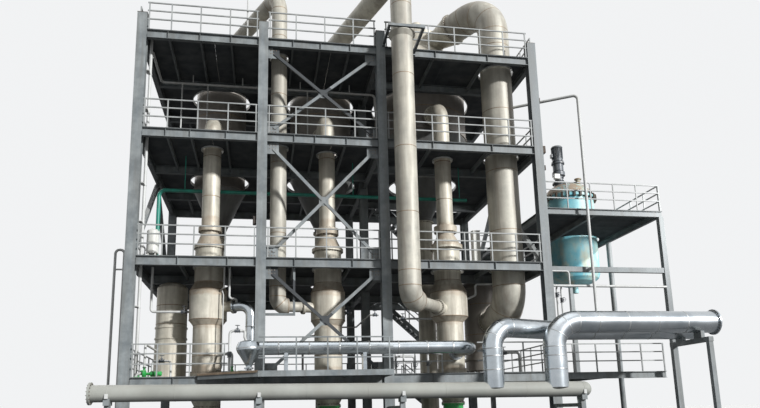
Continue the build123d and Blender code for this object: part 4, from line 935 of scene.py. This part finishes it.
# Cap plates and base bolts of the columns, and the bolts of the front gussets
def frameFixings(bm):
    cap, base = {"half": 0.185, "low": 16.0, "high": 16.012}, {"reach": 0.225, "level": 0.03}
    gusset = {"edge": 0.175, "face": 0.007, "along": (0.1, 0.2, 0.3), "up": (0.1, 0.22)}
    nut, thread = [(0.026, 0.012), (0.026, 0.035)], [(0.014, 0.036), (0.014, 0.075), (0, 0.075)]
    baseBolt = [(0, 0), (0.04, 0), (0.04, 0.01), *nut, *thread]
    gussetBolt = [(0, 0), (0.022, 0), (0.022, 0.003), (0.017, 0.004), (0.017, 0.016), (0, 0.017)]
    for x, y in product(plant["columns"], (0, plant["depth"])):
        half, reach = cap["half"], base["reach"]
        addBlock(bm, (x - half, y - half, cap["low"]), (x + half, y + half, cap["high"]), 0.004)
        for dx, dy in product((-reach, reach), repeat=2):
            addTurned(bm, baseBolt, (x + dx, y + dy, base["level"]), up, 8)
    sides = [(plant["columns"][1] + gusset["edge"], 1), (plant["columns"][2] - gusset["edge"], -1)]
    for (low, high), (side, inward) in product(((2.8, 6.568), (6.9, 11.218), (11.55, 15.018)), sides):
        levels = [low + step for step in gusset["up"]] + [high - step for step in gusset["up"]]
        for z, step, way in product(levels, gusset["along"], (-1, 1)):
            addTurned(bm, gussetBolt, (side + inward * step, way * gusset["face"], z), (0, way, 0), 8)


# Boxes of the power supply on the columns, each with its lid, and their conduit
def junctionBoxes(bm):
    boxes = [
        ((15.178, -0.08, 11.32), (15.33, 0.1, 11.62)), ((15.178, -0.06, 10.62), (15.29, 0.08, 10.82)),
        ((15.178, -0.05, 13.5), (15.27, 0.07, 13.68)), ((4.05, -0.1, 8.1), (4.17, 0.08, 8.4)),
    ]
    for low, high in boxes:
        addBlock(bm, low, high, 0.012)
        lid = (low[0] + 0.02, low[1] - 0.012, low[2] + 0.03), (high[0] - 0.02, low[1] + 0.002, high[2] - 0.03)
        addBlock(bm, *lid, 0.004)
    for top, foot in ((10.65, 9.2), (11.35, 10.8)):
        addPipe(bm, [(15.22, 0.0, top), (15.22, 0.0, foot)], 0.014, 0.05, 8)


# Cabinet on the second floor: body, door, roof, handle and four feet
def panelCabinet(bm):
    addBlock(bm, (12.72, 1.62, 6.98), (13.02, 1.92, 8.55), 0.012)
    addBlock(bm, (12.74, 1.606, 7.05), (13.0, 1.622, 8.48), 0.006)
    addBlock(bm, (12.7, 1.6, 8.55), (13.04, 1.94, 8.58), 0.006)
    addBlock(bm, (12.97, 1.59, 7.7), (12.985, 1.61, 7.82), 0.003)
    for x, y in product((12.74, 12.96), (1.64, 1.86)):
        addBlock(bm, (x, y, plant["levels"][1]), (x + 0.04, y + 0.04, 7.0), 0.003)


# Clamps round the crystalliser's rim: lower jaw, back, upper jaw and screw
def rimClamps(bm):
    clamp = {"count": 28, "screw": 1.19}
    jaws = [
        ((1.15, -0.05, 11.02), (1.28, 0.05, 11.07)), ((1.235, -0.05, 11.05), (1.295, 0.05, 11.26)),
        ((1.14, -0.05, 11.222), (1.28, 0.05, 11.275)),
    ]
    for index in range(clamp["count"]):
        turn = spunAt(*crystalliser["axis"], math.tau * index / clamp["count"])
        for low, high in jaws:
            addBlock(bm, low, high, 0.006, turn)
        screw = [turn @ Vector((clamp["screw"], 0, level)) for level in (11.2, 11.36)]
        addRod(bm, *screw, 0.018, 8)


# Motor fins, fan cover, terminal box, flange bolts and neck rings of the agitator's drive
def driveFins(bm):
    x, y = crystalliser["drive"]
    fins = {"count": 26, "root": 0.24, "tip": 0.268, "half": 0.006, "low": 13.26, "high": 13.78}
    cover = [(0, 0), (0.2, 0), (0.27, 0.01), (0.28, 0.06), (0.24, 0.115), (0.1, 0.125), (0, 0.125)]
    for index in range(fins["count"]):
        low, high = (fins["root"], -fins["half"], fins["low"]), (fins["tip"], fins["half"], fins["high"])
        addBlock(bm, low, high, 0.002, spunAt(x, y, math.tau * index / fins["count"]))
    addTurned(bm, cover, (x, y, fins["high"]), up, 28)
    addBlock(bm, (x - 0.34, y - 0.09, 13.32), (x - 0.24, y + 0.09, 13.5), 0.012)
    addBolts(bm, (x, y, 13.095), up, 0.285, 0.028, 12, 0.016)
    addBolts(bm, (x, y, 12.01), up, 0.3, 0.03, 16, 0.018)
    for level in (12.15, 12.3):
        addHoop(bm, (x, y, level), up, 0.19, 0.05, 0.04, 24)


# Pale box on the drive's neck
def driveTag(bm):
    x, y = crystalliser["drive"]
    addBlock(bm, (x - 0.40, y - 0.40, 12.14), (x - 0.12, y - 0.22, 12.38), 0.012)


# Rusty edge strip of the walkway's slanting corner: top and face
def gangwayEdge(bm):
    start, end = Vector((2.33, -0.2, 2.868)), Vector((4.305, -1.67, 2.868))
    run = end - start
    turn = Matrix.Translation(start) @ Matrix.Rotation(math.atan2(run.y, run.x), 4, "Z")
    addBlock(bm, (0.0, -0.03, 0.0), (run.length, 0.03, 0.012), 0.003, turn)
    addBlock(bm, (0.01, -0.036, -0.06), (run.length - 0.01, -0.026, 0.007), 0.003, turn)


# Mast on the top floor, in three steps to its tip
def roofMast(bm):
    foot = [(0, 0), (0.09, 0), (0.09, 0.012), (0.03, 0.014)]
    mast = [*foot, (0.03, 1.6), (0.022, 1.62), (0.022, 2.4), (0.006, 2.62), (0, 2.62)]
    addTurned(bm, mast, (3.75, -0.06, plant["levels"][3]), up, 12)


# Clamp blocks on both sides of the header at its stands
def headerClamps(bm):
    block = {"out": 0.24, "half": 0.03, "wide": 0.05, "low": 0.16, "high": 0.02}
    for x, side in product((0, 4.35, 8.8, 14.9), (-1, 1)):
        y, z = header["y"] + side * block["out"], headerLevel(x)
        low = (x - block["wide"], y - block["half"], z - block["low"])
        addBlock(bm, low, (x + block["wide"], y + block["half"], z - block["high"]), 0.006)


def headerWelds(bm):
    for x in (0, 1.9, 3.8, 5.8, 7.7, 10.2, 12.9, 14.9):
        addHoop(bm, (x, header["y"], headerLevel(x)), (1, 0, -0.0083), header["radius"], 0.03, 0.004)


# Round manways with bolted covers on the separators and the condenser: level and bearing
def manways(bm):
    neck = [(0, 0), (0.27, 0), (0.27, 0.14), (0.34, 0.14), (0.34, 0.18)]
    cover = [(0.345, 0.185), (0.345, 0.225), (0.12, 0.24), (0, 0.24)]
    spots = [(13.2, 150), (13.4, 120), (14.9, 60), (4.3, 40)]
    for vessel, (level, bearing) in zip([*separators, condenser], spots):
        out = Vector((math.cos(math.radians(bearing)), math.sin(math.radians(bearing)), 0))
        place = Vector((*vessel["axis"], level)) + out * (vessel["radius"] - 0.03)
        addTurned(bm, neck + cover, place, out, 36)
        addBolts(bm, place + out * 0.1825, out, 0.305, 0.043, 16, 0.018)


# Each piece has its function's name, then its slot and its finish
added = [
    (heaterBolts, "stainless", "boltSteel"), (riserBolts, "stainless", "boltSteel"),
    (nozzleBolts, "stainless", "boltSteel"), (lowerBolts, "stainless", "boltSteel"),
    (topDuctBolts, "stainless", "boltSteel"), (ductWelds, "stainless", "weldTint"),
    (shellWelds, "stainless", "weldTint"), (jacketBands, "cladding", "jacketEdge"),
    (kerbRings, "galvanised", "pipeGrey"), (processLines, "galvanised", "pipeGrey"),
    (smallValves, "drive_paint", "driveGrey"), (roofLines, "galvanised", "pipeGrey"),
    (floorPumps, "pump_green", "pumpGreen"), (railFeet, "railing_steel", "railSteel"),
    (frameFixings, "frame_steel", "boltSteel"), (junctionBoxes, "drive_paint", "clampRust"),
    (panelCabinet, "tank_white", "drumWhite"), (rimClamps, "tank_paint", "clampRust"),
    (driveFins, "drive_paint", "driveGrey"), (driveTag, "tank_white", "drumWhite"),
    (gangwayEdge, "frame_steel", "weldTint"), (roofMast, "galvanised", "pipeGrey"),
    (headerClamps, "galvanised", "pipeGrey"), (headerWelds, "header_paint", "headerPaint"),
    (manways, "stainless", "separatorShadedSteel"),
]
for shape, slot, finish in added:
    bm = bmesh.new()
    shape(bm)
    finishPiece(shape.__name__, finish, bm)
print("added pieces:", len(added))


# Floor that looks pale to the camera and throws less light back than it seems to
def buildFloor():
    floor = {
        "size": 400, "dark": (0.78, 0.78, 0.77), "light": (0.84, 0.84, 0.83), "bounce": (0.22, 0.22, 0.22),
    }
    bm = bmesh.new()
    bmesh.ops.create_grid(bm, x_segments=1, y_segments=1, size=floor["size"])
    mesh = bpy.data.meshes.new("groundPlane")
    bm.to_mesh(mesh)
    bm.free()
    material, shader, place = newMaterial("paleFloor", Roughness=0.9)
    seen = material.node_tree.nodes.new("ShaderNodeLightPath").outputs["Is Camera Ray"]
    pale = mixColour(noiseOf(place, 0.3), floor["dark"], floor["light"])
    feed(mixColour(seen, floor["bounce"], pale), shader["Base Color"])
    mesh.materials.append(material)
    ground = bpy.data.objects.new("groundPlane", mesh)
    bpy.context.scene.collection.objects.link(ground)


# Pale backdrop to the eye and in reflections, and a softer sky for the light
def buildSky():
    sky = {"colour": (0.90, 0.93, 0.97), "light": 0.27, "backdrop": (0.95, 0.96, 0.97), "bright": 0.93}
    world = bpy.data.worlds.new("studio")
    bpy.context.scene.world = world
    world.use_nodes = True
    tree = world.node_tree
    light, backdrop = tree.nodes["Background"], tree.nodes.new("ShaderNodeBackground")
    for node, colour, strength in ((light, "colour", "light"), (backdrop, "backdrop", "bright")):
        node.inputs["Color"].default_value = (*sky[colour], 1)
        node.inputs["Strength"].default_value = sky[strength]
    rays = tree.nodes.new("ShaderNodeLightPath").outputs
    seen = calc("MAXIMUM", rays["Is Camera Ray"], rays["Is Glossy Ray"])
    mix = tree.nodes.new("ShaderNodeMixShader")
    feed(calc("MAXIMUM", seen, rays["Is Transmission Ray"]), mix.inputs[0])
    feed(light.outputs[0], mix.inputs[1])
    feed(backdrop.outputs[0], mix.inputs[2])
    feed(mix.outputs[0], tree.nodes["World Output"].inputs[0])


def addLamp(name, kind, power):
    lamp = bpy.data.lights.new(name, kind)
    lamp.energy = power
    holder = bpy.data.objects.new(name, lamp)
    bpy.context.scene.collection.objects.link(holder)
    return lamp, holder


# Three suns, each with its turn in degrees, power and softness, and a small lamp for the crystalliser
def buildLamps():
    suns = {
        "keyLight": ((68, 0, 38), 4.3, 4), "topLight": ((15, 0, 0), 0.45, 50),
        "backLight": ((58, 0, 205), 0.9, 40),
    }
    tank = {"place": (27.0, -7.5, 8.8), "target": (18.9, 5.1, 8.8), "power": 130, "size": 3, "spread": 38}
    for name, (turn, power, soft) in suns.items():
        lamp, holder = addLamp(name, "SUN", power)
        lamp.angle = math.radians(soft)
        holder.rotation_euler = [math.radians(angle) for angle in turn]
    lamp, holder = addLamp("tankLight", "AREA", tank["power"])
    lamp.size = tank["size"]
    lamp.spread = math.radians(tank["spread"])
    holder.matrix_world = upright(tank["place"], Vector(tank["place"]) - Vector(tank["target"]))


buildFloor()
buildSky()
buildLamps()
bpy.context.scene.view_settings.view_transform = "Standard"
print("stage and lights ready")
